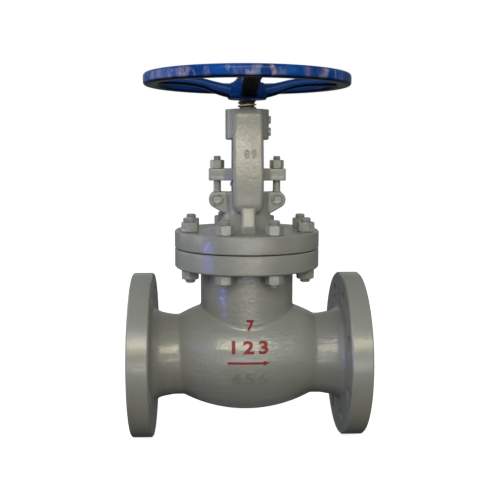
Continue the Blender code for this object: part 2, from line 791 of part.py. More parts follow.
def stud_mesh():
    edge = 0.0012
    profile = [
        (0, STUD_HIGH_Z),
        (STUD_R - edge, STUD_HIGH_Z),
        (STUD_R, STUD_HIGH_Z - edge),
        (STUD_R, STUD_LOW_Z + edge),
        (STUD_R - edge, STUD_LOW_Z),
        (0, STUD_LOW_Z),
    ]
    return evaluated_mesh(turned("stud_pattern", profile, SMALL_STEPS))


def stud_nut_mesh():
    """A nut that stands on z = 0."""
    nut = hexagon("nut_pattern", STUD_NUT_FLATS, 0, STUD_NUT_HEIGHT)
    bore = cylinder("nut_pattern_bore", STUD_R + GAP, -0.005, STUD_NUT_HEIGHT + 0.005, SMALL_STEPS)
    return evaluated_mesh(cut(nut, bore))


def make_bonnet_bolting():
    stud, nut = stud_mesh(), stud_nut_mesh()
    levels = {
        "top": BONNET_FLANGE_TOP_Z + GAP,
        "under": BODY_FLANGE_LOW_Z - GAP - STUD_NUT_HEIGHT,
    }
    for i in range(BONNET_STUDS):
        angle = 2 * pi * (i + 0.5) / BONNET_STUDS
        x, y = STUD_CIRCLE_R * cos(angle), STUD_CIRCLE_R * sin(angle)
        as_node(place(helper_object("stud", stud), (x, y, 0)), f"bonnet_stud_{i + 1}", "grey_paint")
        for level, z in levels.items():
            piece = place(helper_object("nut", nut), (x, y, z), (0, 0, angle))
            as_node(piece, f"bonnet_nut_{level}_{i + 1}", "grey_paint")


# Handwheel ---------------------------------------------------------------------------------------


def rim():
    """A ring with a rounded section."""
    half_w, half_h = RIM_WIDTH / 2, RIM_HEIGHT / 2
    middle_r, middle_z = WHEEL_R - half_w, WHEEL_LOW_Z + half_h
    points = 10
    profile = []
    for i in range(points):
        angle = -2 * pi * (i + 0.5) / points + pi / 2
        across, up = cos(angle), sin(angle)
        # The section is an oval, stretched so that its points reach the rim's width and height.
        profile.append((middle_r + half_w * across / cos(pi / points), middle_z + half_h * up))
    profile = [(min(r, WHEEL_R), z) for r, z in profile]
    return turned("rim", profile, BIG_STEPS + 8, ring=True)


def hub():
    profile = [
        (0, HUB_TOP_Z),
        (HUB_R - 0.006, HUB_TOP_Z),
        (HUB_R - 0.001, HUB_TOP_Z - 0.004),
        (HUB_R, HUB_TOP_Z - 0.010),
        (HUB_R, HUB_LOW_Z + 0.006),
        (HUB_R - 0.003, HUB_LOW_Z + 0.001),
        (HUB_R - 0.005, HUB_LOW_Z),
        (0, HUB_LOW_Z),
    ]
    return turned("hub", profile, MIDDLE_STEPS + 8)


def spoke(index):
    """An oval bar from the hub, low at the hub and rising to the middle of the rim."""
    route = [
        (0.018, 0.4065),
        (0.040, 0.4075),
        (0.054, 0.4115),
        (0.070, 0.4160),
        (0.105, 0.4185),
        (0.143, 0.4198),
    ]
    curve = bpy.data.curves.new("spoke", "CURVE")
    curve.dimensions = "3D"
    curve.bevel_depth = 1.0
    curve.bevel_resolution = 1
    curve.use_fill_caps = True
    line = curve.splines.new("POLY")
    line.points.add(len(route) - 1)
    for point, (r, z) in zip(line.points, route):
        # Heights are divided by the section's, because the object is stretched back by it below.
        point.co = (r / SPOKE_HALF_HEIGHT, 0, z / SPOKE_HALF_HEIGHT, 1)
    bar = bpy.data.objects.new("spoke_curve", curve)
    CUTTERS.objects.link(bar)
    mesh = evaluated_mesh(bar)
    bpy.data.objects.remove(bar)
    mesh.transform(Matrix.Diagonal((SPOKE_HALF_HEIGHT, SPOKE_HALF_WIDTH, SPOKE_HALF_HEIGHT, 1)))
    bm = bmesh.new()
    bm.from_mesh(mesh)
    bmesh.ops.remove_doubles(bm, verts=bm.verts, dist=0.00001)
    bmesh.ops.recalc_face_normals(bm, faces=bm.faces)
    bpy.data.meshes.remove(mesh)
    return place(from_bmesh("spoke", bm), rotation=(0, 0, 2 * pi * index / SPOKES))


def make_handwheel():
    wheel = join(rim(), hub(), *[spoke(i) for i in range(SPOKES)])
    half = STEM_SQUARE / 2 + GAP
    square = box("hub_square", (-half, -half, HUB_LOW_Z - 0.005), (half, half, HUB_TOP_Z + 0.005))
    return as_node(cut(wheel, square), "handwheel", "blue_paint")


def make_wheel_fastening():
    bore_r = STEM_TOP_R + GAP
    low = HUB_TOP_Z + GAP
    high = low + WHEEL_WASHER_HEIGHT
    as_node(tube("wheel_ring", WHEEL_WASHER_R, bore_r, low, high, MIDDLE_STEPS), "wheel_washer", "dark_steel")
    low, high = high + GAP, high + GAP + WHEEL_NUT_HEIGHT
    nut = hexagon("locknut", WHEEL_NUT_FLATS, low, high)
    cut(nut, cylinder("locknut_bore", bore_r, low - 0.005, high + 0.010, MIDDLE_STEPS))
    as_node(nut, "wheel_nut", "dark_steel")


# Assembly ----------------------------------------------------------------------------------------


def finish_pieces():
    """Applies each piece's modifiers, gives it its material and shades it smooth up to its sharp edges."""
    bpy.context.view_layer.update()
    pieces = [item for item in VALVE.objects if item.type == "MESH"]
    meshes = {piece: evaluated_mesh(piece) for piece in pieces}
    for piece, mesh in meshes.items():
        piece.modifiers.clear()
        piece.data = mesh
        mesh.name = piece.name
        mesh.materials.clear()
        mesh.materials.append(MATERIALS[piece["material"]])
        mesh.shade_smooth()
        mesh.set_sharp_from_angle(angle=radians(32))
        del piece["material"]
    for cutter in list(CUTTERS.objects):
        bpy.data.objects.remove(cutter, do_unlink=True)
    bpy.data.collections.remove(CUTTERS)


def main():
    make_body()
    make_seat_ring()
    make_disc()
    make_thrust_pad()
    make_disc_nut()
    make_stem()
    make_bonnet()
    make_yoke_nut()
    make_bonnet_gasket()
    make_backseat_bush()
    make_gland(make_packing())
    make_gland_flange()
    for side, word in ((-1, "left"), (1, "right")):
        make_eyebolt(side, f"eyebolt_{word}")
        make_eyebolt_nut(side, f"eyebolt_nut_{word}")
        make_eyebolt_pin(side, f"eyebolt_pin_{word}")
    make_bonnet_bolting()
    make_handwheel()
    make_wheel_fastening()
    finish_pieces()


main()
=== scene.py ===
"""The looks of a flanged globe valve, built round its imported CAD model. Units are metres, +Z is up."""

from math import asin, atan2, ceil, cos, pi, radians, sin, sqrt, tan

import bmesh
import bpy
from mathutils import Matrix, Vector


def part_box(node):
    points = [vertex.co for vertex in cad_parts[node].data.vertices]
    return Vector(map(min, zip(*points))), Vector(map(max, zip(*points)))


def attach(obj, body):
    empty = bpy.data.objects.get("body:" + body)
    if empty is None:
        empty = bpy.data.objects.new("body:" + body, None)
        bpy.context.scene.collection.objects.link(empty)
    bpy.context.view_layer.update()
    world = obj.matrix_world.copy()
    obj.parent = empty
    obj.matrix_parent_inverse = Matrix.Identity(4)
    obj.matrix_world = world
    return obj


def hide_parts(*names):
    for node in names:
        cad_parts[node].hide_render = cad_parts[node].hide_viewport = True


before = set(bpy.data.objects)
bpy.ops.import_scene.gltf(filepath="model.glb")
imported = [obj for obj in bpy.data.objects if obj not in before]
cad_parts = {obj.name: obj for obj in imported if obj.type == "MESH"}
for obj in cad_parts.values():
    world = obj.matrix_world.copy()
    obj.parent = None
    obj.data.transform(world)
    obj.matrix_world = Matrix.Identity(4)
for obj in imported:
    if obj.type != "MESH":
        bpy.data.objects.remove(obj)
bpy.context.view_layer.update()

# Places that the CAD model gives ------------------------

BODY_LOW, BODY_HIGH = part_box("body")
FACE_X = BODY_HIGH.x  # the raised faces, either way from the stem's axis
PIPE_FLANGE_R = BODY_HIGH.y
FLOOR_Z = BODY_LOW.z
JOINT_Z = BODY_HIGH.z  # top of the body
BONNET_LOW, BONNET_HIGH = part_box("bonnet")
SPIGOT_LOW_Z = BONNET_LOW.z
BONNET_FLANGE_R = BONNET_HIGH.x
BOSS_TOP_Z = BONNET_HIGH.z
PIN_LOW, PIN_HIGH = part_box("eyebolt_pin_right")
EYEBOLT_X = (PIN_LOW.x + PIN_HIGH.x) / 2
PIN_Z = (PIN_LOW.z + PIN_HIGH.z) / 2
WHEEL_LOW, WHEEL_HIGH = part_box("handwheel")
WHEEL_R = WHEEL_HIGH.x
HUB_LOW_Z = WHEEL_LOW.z
WASHER_LOW_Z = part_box("wheel_washer")[0].z

# Sizes of the details ------------------------

GAP = 0.0003
FLANGE_BACK_X = 0.145
PIPE_BORE_R = 0.051
RAISED_FACE_R = 0.0786
RAISED_FACE_HEIGHT = 0.0016
PIPE_HOLE_R = 0.0111
PIPE_HOLE_CIRCLE_R = 0.100
PIPE_HOLES = 8
END_NECK_R = 0.0623
EDGE = 0.0018  # chamfer on the rims of the flanges
TOP_EDGE = EDGE * 0.6  # the smaller one at the joint of body and bonnet
TOP_RIM_R = BONNET_FLANGE_R - EDGE * 1.2  # both their flanges are turned outside this radius
CAST_EXTRA = 0.003  # metal that the lathe takes off a casting

BULB_R = 0.088
BULB_ARC_R = 0.214
BULB_RISE = 0.0022
BULB_HALF_LENGTH = 0.104
WALL = 0.0115
NECK_R = 0.0715
BODY_FLANGE_LOW_Z = 0.1394
BONNET_FACE_Z = 0.1694
BONNET_FLANGE_TOP_Z = 0.1958
STUDS = 8
STUD_CIRCLE_R = 0.0938
STUD_R = 0.008
STUD_HOLE_R = 0.0089

BONNET_NECK_R = 0.0345
STUFFING_BOX_R = 0.022
STUFFING_BOX_LOW_Z = 0.200
STUFFING_BOX_TOP_Z = 0.2535
ARM_HALF_WIDTH = 0.0228
ARM_FRONT_HALF_WIDTH = 0.0206
ARM_FOOT_HEIGHT = 0.014  # where the arm's rounded foot has reached its full width
BOSS_R = 0.033
RIB_HALF_WIDTH = 0.0106
GLAND_COLLAR_R = 0.0258
BOSS_LOW_Z = 0.3325
YOKE_NUT_R = 0.0200
LUG_R = 0.013
LUG_HALF_WIDTH = 0.0148
EYE_SLOT_HALF_WIDTH = 0.0065
MARKS_Y = -0.085  # where marks are made, as deep solids that are then trimmed
MARKS_DEPTH = 0.06
MARK_ROOT = 0.0012  # how far a mark reaches into what carries it

PACKING_RINGS = 5

SEAT_RING_R = 0.0542
SEAT_R = 0.047
SEAT_CONE = 0.003
SEAT_TOP_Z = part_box("seat_ring")[1].z
WEB_HALF_HEIGHT = 0.006  # of the wall that the seat is screwed into
DISC_HIGH_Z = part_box("disc")[1].z
DISC_HUB_R = 0.031
DISC_SOCKET_R = 0.024  # where the disc holds the stem's head and its nut
PIN_BOSS_HALF_WIDTH = LUG_HALF_WIDTH + 0.0025

RIM_WIDTH = 0.022
RIM_LOW_Z = 0.4116
RIM_HIGH_Z = WHEEL_HIGH.z
SCUFFS_MIDDLE_Z = 0.4208  # of the band round the rim whose enamel is worn
SQUARE_HALF_WIDTH = 0.0095  # of the square that the hub sits on

STEM_R = 0.014
STEM_CLEAR_R = STEM_R + 0.0004  # the bore of the parts round the plain stem
STEM_ROOT_R = 0.0112
STEM_PITCH = 0.005
STEM_THREAD_LOW_Z = 0.2945
V_THREAD = (0.12, 0.38)  # a plain bolt thread's crest and flank, in pitches
HEX = 6

SMOOTH_STEPS = 144
SMALL_STEPS = 64
CAST_VOXEL = 0.0020
FINE_VOXEL = 0.0012

# Mesh helpers ------------------------


def placed(name, data):
    """A new object in the scene, for a mesh, a curve, a light or a camera."""
    obj = bpy.data.objects.new(name, data)
    bpy.context.scene.collection.objects.link(obj)
    return obj


def new_object(name, bm):
    mesh = bpy.data.meshes.new(name)
    bm.to_mesh(mesh)
    bm.free()
    return placed(name, mesh)


def evaluated_mesh(obj):
    bpy.context.view_layer.update()
    graph = bpy.context.evaluated_depsgraph_get()
    return bpy.data.meshes.new_from_object(obj.evaluated_get(graph))


def applied(obj):
    """Turns an object's modifiers into its mesh."""
    mesh = evaluated_mesh(obj)
    obj.modifiers.clear()
    obj.data = mesh
    return obj


def discard(objects):
    for item in objects:
        bpy.data.objects.remove(item, do_unlink=True)


def joined(name, parts):
    """One object that holds all the parts' meshes, as they are."""
    bm = bmesh.new()
    for part in parts:
        bm.from_mesh(part.data)
    discard(parts)
    return new_object(name, bm)


def moved(obj, location=(0, 0, 0), turn=None):
    obj.data.transform(Matrix.Translation(location) @ (turn or Matrix.Identity(4)))
    return obj


def boolean(obj, others, operation):
    for other in others:
        modifier = obj.modifiers.new(operation, "BOOLEAN")
        modifier.operation = operation
        modifier.solver = "MANIFOLD"
        modifier.object = other
    applied(obj)
    discard(others)
    return obj


def united(obj, *others):
    return boolean(obj, others, "UNION")


def cut(obj, *others):
    return boolean(obj, others, "DIFFERENCE")


def kept_inside(obj, *others):
    return boolean(obj, others, "INTERSECT")


ALONG_X = Matrix.Rotation(pi / 2, 4, "Y")
ALONG_Y = Matrix.Rotation(-pi / 2, 4, "X")
ACROSS_X = Matrix.Rotation(-pi / 2, 4, "Y")  # stands an outline of (z, y) points up across X


def evenly(start, stop, count):
    """The values that split a stretch into count even steps, with both its ends."""
    return [start + (stop - start) * i / count for i in range(count + 1)]


def filleted(points, closed=False, arc_points=5):
    """A line through (a, b) or (a, b, radius) points, with an arc of that radius at each such corner."""
    line = []
    count = len(points)
    for i, point in enumerate(points):
        here = Vector(point[:2])
        if len(point) < 3 or (not closed and i in (0, count - 1)):
            line.append(here)
            continue
        before = Vector(points[i - 1][:2]) - here
        after = Vector(points[(i + 1) % count][:2]) - here
        room = 0.49 * min(before.length, after.length)
        before.normalize()
        after.normalize()
        half = before.angle(after) / 2
        reach = min(point[2] / tan(half), room)
        middle = here + (before + after).normalized() * reach / cos(half)
        start, stop = here + before * reach - middle, here + after * reach - middle
        turn = start.angle_signed(stop)
        for step in range(arc_points + 1):
            line.append(middle + Matrix.Rotation(-turn * step / arc_points, 2) @ start)
    return [(p.x, p.y) for p in line]


def thread_rows(crest_r, root_r, pitch, low, high, crest=0.36, flank=0.14):
    """Rows of a right-handed thread: a function of the turn, from 0 to 1, that gives (radius, z)."""
    corners = ((0, crest_r), (crest, crest_r), (crest + flank, root_r), (1 - flank, root_r))
    fade = 0.6 * pitch  # the height over which it runs out at each end
    end_r = (crest_r + root_r) / 2

    def at(row, turn):
        part, radius = corners[row % 4]
        z = low + (row // 4 - 2 + part + turn) * pitch
        inside = min(max(min(z - low, high - z) / fade, 0), 1)
        return end_r + (radius - end_r) * inside, min(max(z, low), high)

    return at, 4 * (ceil((high - low) / pitch) + 3)


def turned(name, profile, steps=SMOOTH_STEPS, ring=False, threads=()):
    """Turns (radius, z) points round Z. They run down the outer side, and a ring's come back up its bore.

    threads holds (crest_r, root_r, pitch, low, high) for each stretch that carries a thread: the profile
    has a point at each of its ends, at the middle radius, and nothing between them.
    """
    bm = bmesh.new()
    angles = [2 * pi * i / steps for i in range(steps)]

    def vertex(radius, z, i):
        return bm.verts.new((radius * cos(angles[i % steps]), radius * sin(angles[i % steps]), z))

    def add_face(corners):
        different = list(dict.fromkeys(corners))
        if len(different) > 2:
            bm.faces.new(different)

    rows = []
    for radius, z in profile:
        if radius < 1e-7:
            rows.append([bm.verts.new((0, 0, z))] * steps)
        else:
            rows.append([vertex(radius, z, i) for i in range(steps)])
    threaded = {(round(thread[3], 6), round(thread[4], 6)): thread for thread in threads}
    following = rows[1:] + rows[:1] if ring else rows[1:]
    ends = profile[1:] + profile[:1] if ring else profile[1:]
    for upper, lower, start, stop in zip(rows, following, profile, ends):
        stretch = (round(min(start[1], stop[1]), 6), round(max(start[1], stop[1]), 6))
        thread = threaded.get(stretch)
        if thread is None or abs(start[0] - stop[0]) > 1e-6:
            for i in range(steps):
                add_face([upper[i], lower[i], lower[(i + 1) % steps], upper[(i + 1) % steps]])
            continue
        at, count = thread_rows(*thread)
        grid = [[vertex(*at(row, i / steps), i) for i in range(steps)] for row in range(count)]
        inward = start[1] < stop[1]
        for row in range(count - 1):
            for i in range(steps):
                wrap = 4 if i == steps - 1 else 0
                if row + 1 + wrap >= count:
                    continue
                near = (i + 1) % steps
                right_low, right_high = grid[row + wrap][near], grid[row + 1 + wrap][near]
                loop = [grid[row + 1][i], grid[row][i], right_low, right_high]
                bm.faces.new(loop[::-1] if inward else loop)
    bmesh.ops.remove_doubles(bm, verts=bm.verts, dist=0.000002)
    return new_object(name, bm)


def lathed(name, points, steps=SMOOTH_STEPS, ring=False, threads=()):
    """Turns (radius, z) or (radius, z, fillet) points round Z."""
    return turned(name, filleted(points, closed=ring), steps, ring, threads)


def cylinder(name, radius, low, high, steps=SMOOTH_STEPS):
    return turned(name, [(0, high), (radius, high), (radius, low), (0, low)], steps)


def plate(name, outline, low, high, edge=0.0, segments=3):
    """A flat outline in X and Y, thickened from low to high along Z, with rounded rims."""
    bm = bmesh.new()
    face = bm.faces.new([bm.verts.new((x, y, low)) for x, y in outline])
    top = bmesh.ops.extrude_face_region(bm, geom=[face])["geom"]
    raised = [item for item in top if isinstance(item, bmesh.types.BMVert)]
    bmesh.ops.translate(bm, verts=raised, vec=(0, 0, high - low))
    bmesh.ops.recalc_face_normals(bm, faces=bm.faces)
    obj = new_object(name, bm)
    if edge:
        bevel = obj.modifiers.new("Rims", "BEVEL")
        bevel.width = edge
        bevel.segments = segments
        bevel.limit_method = "ANGLE"
        bevel.angle_limit = radians(50)
        applied(obj)
    return obj


def block(name, low, high):
    outline = [(low[0], low[1]), (high[0], low[1]), (high[0], high[1]), (low[0], high[1])]
    return plate(name, outline, low[2], high[2])


def melted(name, parts, voxel, passes):
    """Joins overlapping shapes into one casting, with its inner corners filled and its edges soft."""
    obj = joined(name, parts)
    remesh = obj.modifiers.new("Remesh", "REMESH")
    remesh.mode = "VOXEL"
    remesh.voxel_size = voxel
    smooth = obj.modifiers.new("Smooth", "SMOOTH")
    smooth.factor = 0.5
    smooth.iterations = passes
    return applied(obj)


def bolt_circle(count, radius):
    """(angle, x, y) for each bolt round a circle, the first of them half a step on."""
    angles = [2 * pi * (i + 0.5) / count for i in range(count)]
    return [(angle, radius * cos(angle), radius * sin(angle)) for angle in angles]


def stud_holes(low, high):
    holes = []
    for _, x, y in bolt_circle(STUDS, STUD_CIRCLE_R):
        holes.append(moved(cylinder("hole", STUD_HOLE_R, low, high, SMALL_STEPS), (x, y, 0)))
    return joined("stud_holes", holes)


def mirrored(line):
    """Adds the same points below z = 0, in the order that carries on down."""
    return line + [(p[0], -p[1], *p[2:]) for p in reversed(line)]


def both_sides(half):
    """Adds the same points at x < 0 to those at x > 0, whose last one is in the middle."""
    return half + [(-x, *rest) for x, *rest in reversed(half[:-1])]


def bulge(arc_r, middle_r, half_length):
    """(radius, z) points down a bulging wall whose lengthwise radius is arc_r."""
    heights = evenly(half_length, -half_length, 32)
    return [(middle_r - (arc_r - sqrt(arc_r**2 - z**2)), z) for z in heights]


def bulb(rise, half_length):
    """The middle of the body, larger by rise."""
    wall = bulge(BULB_ARC_R + rise, BULB_R + rise, half_length)
    shape = turned("bulb", [(0, half_length), *wall, (0, -half_length)])
    return moved(shape, (0, 0, BULB_RISE), ALONG_X)


def at_pin(obj, side):
    """Lays what stands on Z along the pin of one eyebolt."""
    return moved(obj, (side * EYEBOLT_X, 0, PIN_Z), ALONG_Y)


# Materials ------------------------


def add_node(tree, kind, inputs=None, **settings):
    """A new node with its settings, and each input linked to a socket or given a value."""
    node = tree.nodes.new(kind)
    for key, value in settings.items():
        setattr(node, key, value)
    for key, value in (inputs or {}).items():
        fill(tree, node.inputs[key], value)
    return node


def fill(tree, socket, value):
    if isinstance(value, bpy.types.NodeSocket):
        tree.links.new(value, socket)
    else:
        socket.default_value = value


class Look:
    """A procedural material, with short forms for its nodes."""

    def __init__(self, name, colour, roughness, metallic=0.0):
        self.material = bpy.data.materials.new(name)
        self.material.use_nodes = True
        self.material.diffuse_color = (*colour, 1)
        self.tree = self.material.node_tree
        self.shader = self.tree.nodes["Principled BSDF"]
        self.place = self.add("ShaderNodeTexCoord").outputs["Object"]
        self.set("Base Color", (*colour, 1))
        self.set("Roughness", roughness)
        self.set("Metallic", metallic)

    def add(self, kind, inputs=None, **settings):
        return add_node(self.tree, kind, inputs, **settings)

    def set(self, socket, value):
        fill(self.tree, self.shader.inputs[socket], value)

    def noise(self, scale, detail=3, stretch=(1, 1, 1), low=0.3, high=0.7, distortion=0.0):
        """Noise from 0 to 1; scale is in waves per metre, and low and high set its contrast."""
        place = self.add("ShaderNodeMapping", {"Vector": self.place, "Scale": stretch}).outputs[0]
        inputs = {"Vector": place, "Scale": scale, "Detail": detail, "Distortion": distortion}
        wave = self.add("ShaderNodeTexNoise", inputs).outputs["Fac"]
        return self.span(wave, low, high)

    def span(self, value, low, high, to_low=0.0, to_high=1.0):
        inputs = {0: value, 1: low, 2: high, 3: to_low, 4: to_high}
        return self.add("ShaderNodeMapRange", inputs).outputs[0]

    def math(self, operation, a, b=0.0):
        return self.add("ShaderNodeMath", {0: a, 1: b}, operation=operation).outputs[0]

    def times(self, a, b):
        return self.math("MULTIPLY", a, b)

    def bump(self, height, distance, strength=1.0, under=None):
        """Bumps, on top of those that are under them, if any."""
        inputs = {"Height": height, "Distance": distance, "Strength": strength}
        if under is not None:
            inputs["Normal"] = under
        return self.add("ShaderNodeBump", inputs).outputs[0]

    def mix(self, factor, a, b):
        return self.add("ShaderNodeMix", {0: factor, 6: a, 7: b}, data_type="RGBA").outputs[2]

    def turned_bumps(self, depth):
        """Fine rings round Z, and the bumps that they make over small pits."""
        rings = self.noise(2600, 2, stretch=(0.01, 0.01, 1), low=0.25, high=0.75)
        pits = self.bump(self.noise(600, 2), 0.00006, 0.5)
        return rings, self.bump(rings, depth, 0.6, pits)

    def axis(self, name):
        return self.add("ShaderNodeSeparateXYZ", {0: self.place}).outputs[name]

    def radius(self):
        """The distance from the Z axis."""
        x, y = self.axis("X"), self.axis("Y")
        return self.math("POWER", self.math("ADD", self.times(x, x), self.times(y, y)), 0.5)


def grey(level, warmth=0.0):
    """The valve's grey, which leans to olive, or to beige as warmth rises."""
    return (level * (0.985 + warmth), level, level * (0.96 - 1.5 * warmth), 1)


def painted(name, stretch, grain, lines=0.0, base=0.27, patchy=1.0, coat=0.5):
    """Brushed grey paint. stretch runs the brush, grain is the casting below it, lines a lathe's marks."""
    look = Look(name, grey(base)[:3], 0.3)
    cloud = look.noise(9, 3, low=0.35, high=0.65)
    colour = look.mix(cloud, grey(base * (1 - 0.10 * patchy), 0.03), grey(base * (1 + 0.06 * patchy)))
    brush = look.noise(26, 5, stretch, 0.28, 0.72, 0.6)
    colour = look.mix(look.span(brush, 0, 1, 0, 0.45 * patchy), colour, grey(base * 1.18, -0.01))
    specks = look.noise(330, 2, low=0.60, high=0.74)
    colour = look.mix(look.span(specks, 0, 1, 0, 0.22), colour, grey(base * 0.55, 0.03))
    look.set("Base Color", colour)
    look.set("Roughness", look.span(look.noise(38, 3), 0, 1, 0.30, 0.42))
    look.set("Coat Weight", coat)
    look.set("Coat Roughness", 0.07)
    rough = look.bump(look.noise(170, 4, low=0.2, high=0.8), grain)
    waves = look.bump(brush, 0.00035, 0.55 * patchy, rough)
    strokes = look.noise(62, 4, tuple(1.1 * s if s > 1 else 0.9 for s in stretch), 0.3, 0.7, 0.8)
    strokes = look.times(strokes, look.noise(13, 3, low=0.42, high=0.62))
    waves = look.bump(strokes, 0.00042, 0.9 * patchy, waves)
    if lines:
        marks = look.noise(1500, 1, stretch=tuple(0.02 if s > 1 else 1 for s in stretch))
        waves = look.bump(marks, lines, 0.6, waves)
    look.set("Normal", waves)
    look.set("Coat Normal", waves)
    return look.material


def blue_enamel():
    """Blue enamel, scuffed pale along the outside of the rim, with painted shade: near black on the
    undersides and darker on the spokes and hub.
    """
    look = Look("blue_enamel", (0.0006, 0.036, 0.20), 0.28)
    cloud = look.noise(14, 3, low=0.35, high=0.65)
    colour = look.mix(cloud, (0.0002, 0.030, 0.185, 1), (0.0006, 0.072, 0.370, 1))
    out = look.radius()
    inner = look.span(out, WHEEL_R - RIM_WIDTH + 0.008, WHEEL_R - RIM_WIDTH)
    # Painted shade: inside the rim, the spokes and hub are mixed up to 0.55 of the way to a darker blue.
    colour = look.mix(look.span(inner, 0, 1, 0, 0.55), colour, (0.0003, 0.011, 0.075, 1))
    # Painted shade: faces that point down are mixed to near black, standing in for the shade under the
    # wheel.
    facing = look.add("ShaderNodeNewGeometry").outputs["Normal"]
    facing = look.add("ShaderNodeSeparateXYZ", {0: facing}).outputs["Z"]
    colour = look.mix(look.span(facing, -0.25, -0.80), colour, (0.001, 0.002, 0.008, 1))
    rim = look.span(out, WHEEL_R - 0.004, WHEEL_R - 0.0015)
    height = look.math("ABSOLUTE", look.math("SUBTRACT", look.axis("Z"), SCUFFS_MIDDLE_Z))
    rim = look.times(rim, look.span(height, 0.0078, 0.0045))
    rubbed = look.noise(85, 4, stretch=(1, 1, 0.45), low=0.43, high=0.62, distortion=0.5)
    patches = look.noise(17, 2, stretch=(1, 1, 0.2), low=0.44, high=0.53)
    worn = look.times(look.times(rim, rubbed), patches)
    pale = look.mix(look.noise(70, 2, low=0.4, high=0.6), (0.22, 0.27, 0.50, 1), (0.55, 0.42, 0.50, 1))
    colour = look.mix(look.span(worn, 0, 1, 0, 0.75), colour, pale)
    look.set("Base Color", colour)
    look.set("Roughness", look.span(worn, 0, 1, 0.28, 0.45))
    look.set("Specular IOR Level", 0.06)
    look.set("Coat Weight", look.span(inner, 0, 1, 0.12, 0.04))
    look.set("Coat Roughness", 0.08)
    waves = look.bump(look.noise(70, 3), 0.0006, 0.35)
    look.set("Normal", look.bump(look.noise(420, 2), 0.00012, 0.4, waves))
    return look.material


def stem_dark_roots():
    """Stem steel whose thread is near black at its roots and bright at its crests."""
    look = Look("stem_steel", (0.32, 0.25, 0.17), 0.35, 1.0)
    crest = look.span(look.radius(), STEM_ROOT_R + 0.0003, STEM_R - 0.0004)
    stains = look.noise(60, 4, low=0.38, high=0.66)
    bright = look.mix(stains, (0.60, 0.46, 0.30, 1), (0.18, 0.13, 0.09, 1))
    # Darker towards the thread's roots and brighter at its crests, set by the distance from the axis.
    look.set("Base Color", look.mix(crest, (0.015, 0.013, 0.014, 1), bright))
    look.set("Metallic", look.span(crest, 0, 1, 0.3, 1.0))
    look.set("Roughness", look.span(stains, 0, 1, 0.28, 0.48))
    look.set("Normal", look.turned_bumps(0.00004)[1])
    return look.material


def metal(name, colour, shade, roughness, stain):
    """Metal turned round Z, with darker stains."""
    look = Look(name, colour, roughness, 1.0)
    stains = look.noise(55, 4, low=0.40, high=0.68)
    look.set("Base Color", look.mix(look.span(stains, 0, 1, 0, stain), (*colour, 1), (*shade, 1)))
    rings, bumps = look.turned_bumps(0.00005)
    look.set("Roughness", look.span(look.times(rings, stains), 0, 1, roughness, roughness + 0.2))
    look.set("Normal", bumps)
    return look.material


def woven_graphite():
    look = Look("woven_graphite", (0.035, 0.035, 0.04), 0.55, 0.2)
    turn = look.times(look.math("ARCTAN2", look.axis("Y"), look.axis("X")), 40.0)
    climb = look.times(look.axis("Z"), 1200.0)
    weave = look.times(*[look.math("SINE", look.math(way, turn, climb)) for way in ("ADD", "SUBTRACT")])
    dark, light = (0.02, 0.02, 0.024, 1), (0.075, 0.075, 0.08, 1)
    look.set("Base Color", look.mix(look.span(weave, -1, 1), dark, light))
    look.set("Normal", look.bump(weave, 0.0003, 0.7))
    return look.material


def red_paint():
    look = Look("red_paint", (0.30, 0.015, 0.025), 0.4)
    thin = look.noise(150, 3, low=0.42, high=0.72)
    colour = look.mix(look.span(thin, 0, 1, 0, 0.3), (0.27, 0.006, 0.016, 1), (0.19, 0.04, 0.045, 1))
    look.set("Base Color", colour)
    look.set("Specular IOR Level", 0.2)
    look.set("Normal", look.bump(look.noise(400, 2), 0.0001, 0.5))
    return look.material


LOOKS = {
    "casting": painted("painted_casting", (0.6, 0.6, 3.2), 0.00030),
    "yoke": painted("painted_yoke", (1.6, 1.6, 0.6), 0.00022, patchy=0.45, coat=0.2),
    "machined_x": painted("painted_turned_x", (6, 0.4, 0.4), 0.00008, 0.00006, patchy=0.4),
    "machined_z": painted("painted_turned_z", (0.4, 0.4, 6), 0.00008, 0.00006, patchy=0.4),
    "fastener": painted("painted_fasteners", (1, 1, 1), 0.00012, base=0.28),
    # Painted shade: these raised numerals are a little darker than the body, in place of the shade round
    # their edges.
    "cast_mark": painted("painted_cast_mark", (1, 1, 1), 0.00020, base=0.24),
    # Painted shade: the arm's numerals are much darker than the arm, in place of the shade round their
    # edges.
    "yoke_mark": painted("painted_yoke_mark", (1, 1, 1), 0.00010, base=0.11, patchy=0.4, coat=0.1),
    "blue": blue_enamel(),
    "stem": stem_dark_roots(),
    "trim": metal("trim_steel", (0.55, 0.54, 0.52), (0.40, 0.38, 0.35), 0.24, stain=0.3),
    "bronze": metal("bronze", (0.60, 0.38, 0.16), (0.30, 0.17, 0.07), 0.30, stain=0.5),
    "dark": metal("dark_steel", (0.07, 0.07, 0.075), (0.03, 0.025, 0.02), 0.38, stain=0.6),
    "graphite": woven_graphite(),
    "red": red_paint(),
}


def finish(obj, nodes, look, body="valve_body", sharp=32):
    """Gives a piece its material and shading, puts it under its body's empty, and hides the CAD nodes that
    it stands for.
    """
    obj.data.materials.clear()
    obj.data.materials.append(LOOKS[look])
    obj.data.shade_smooth()
    obj.data.set_sharp_from_angle(angle=radians(sharp))
    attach(obj, body)
    if nodes:
        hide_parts(*nodes)


def off_axis(spot):
    """A point's distance from the stem's axis."""
    return sqrt(spot.x**2 + spot.y**2)


def paint_faces(obj, look, chosen):
    """Gives the faces that chosen(centre) picks a second material."""
    obj.data.materials.append(LOOKS[look])
    index = len(obj.data.materials) - 1
    for face in obj.data.polygons:
        if chosen(face.center):
            face.material_index = index


# Body ------------------------


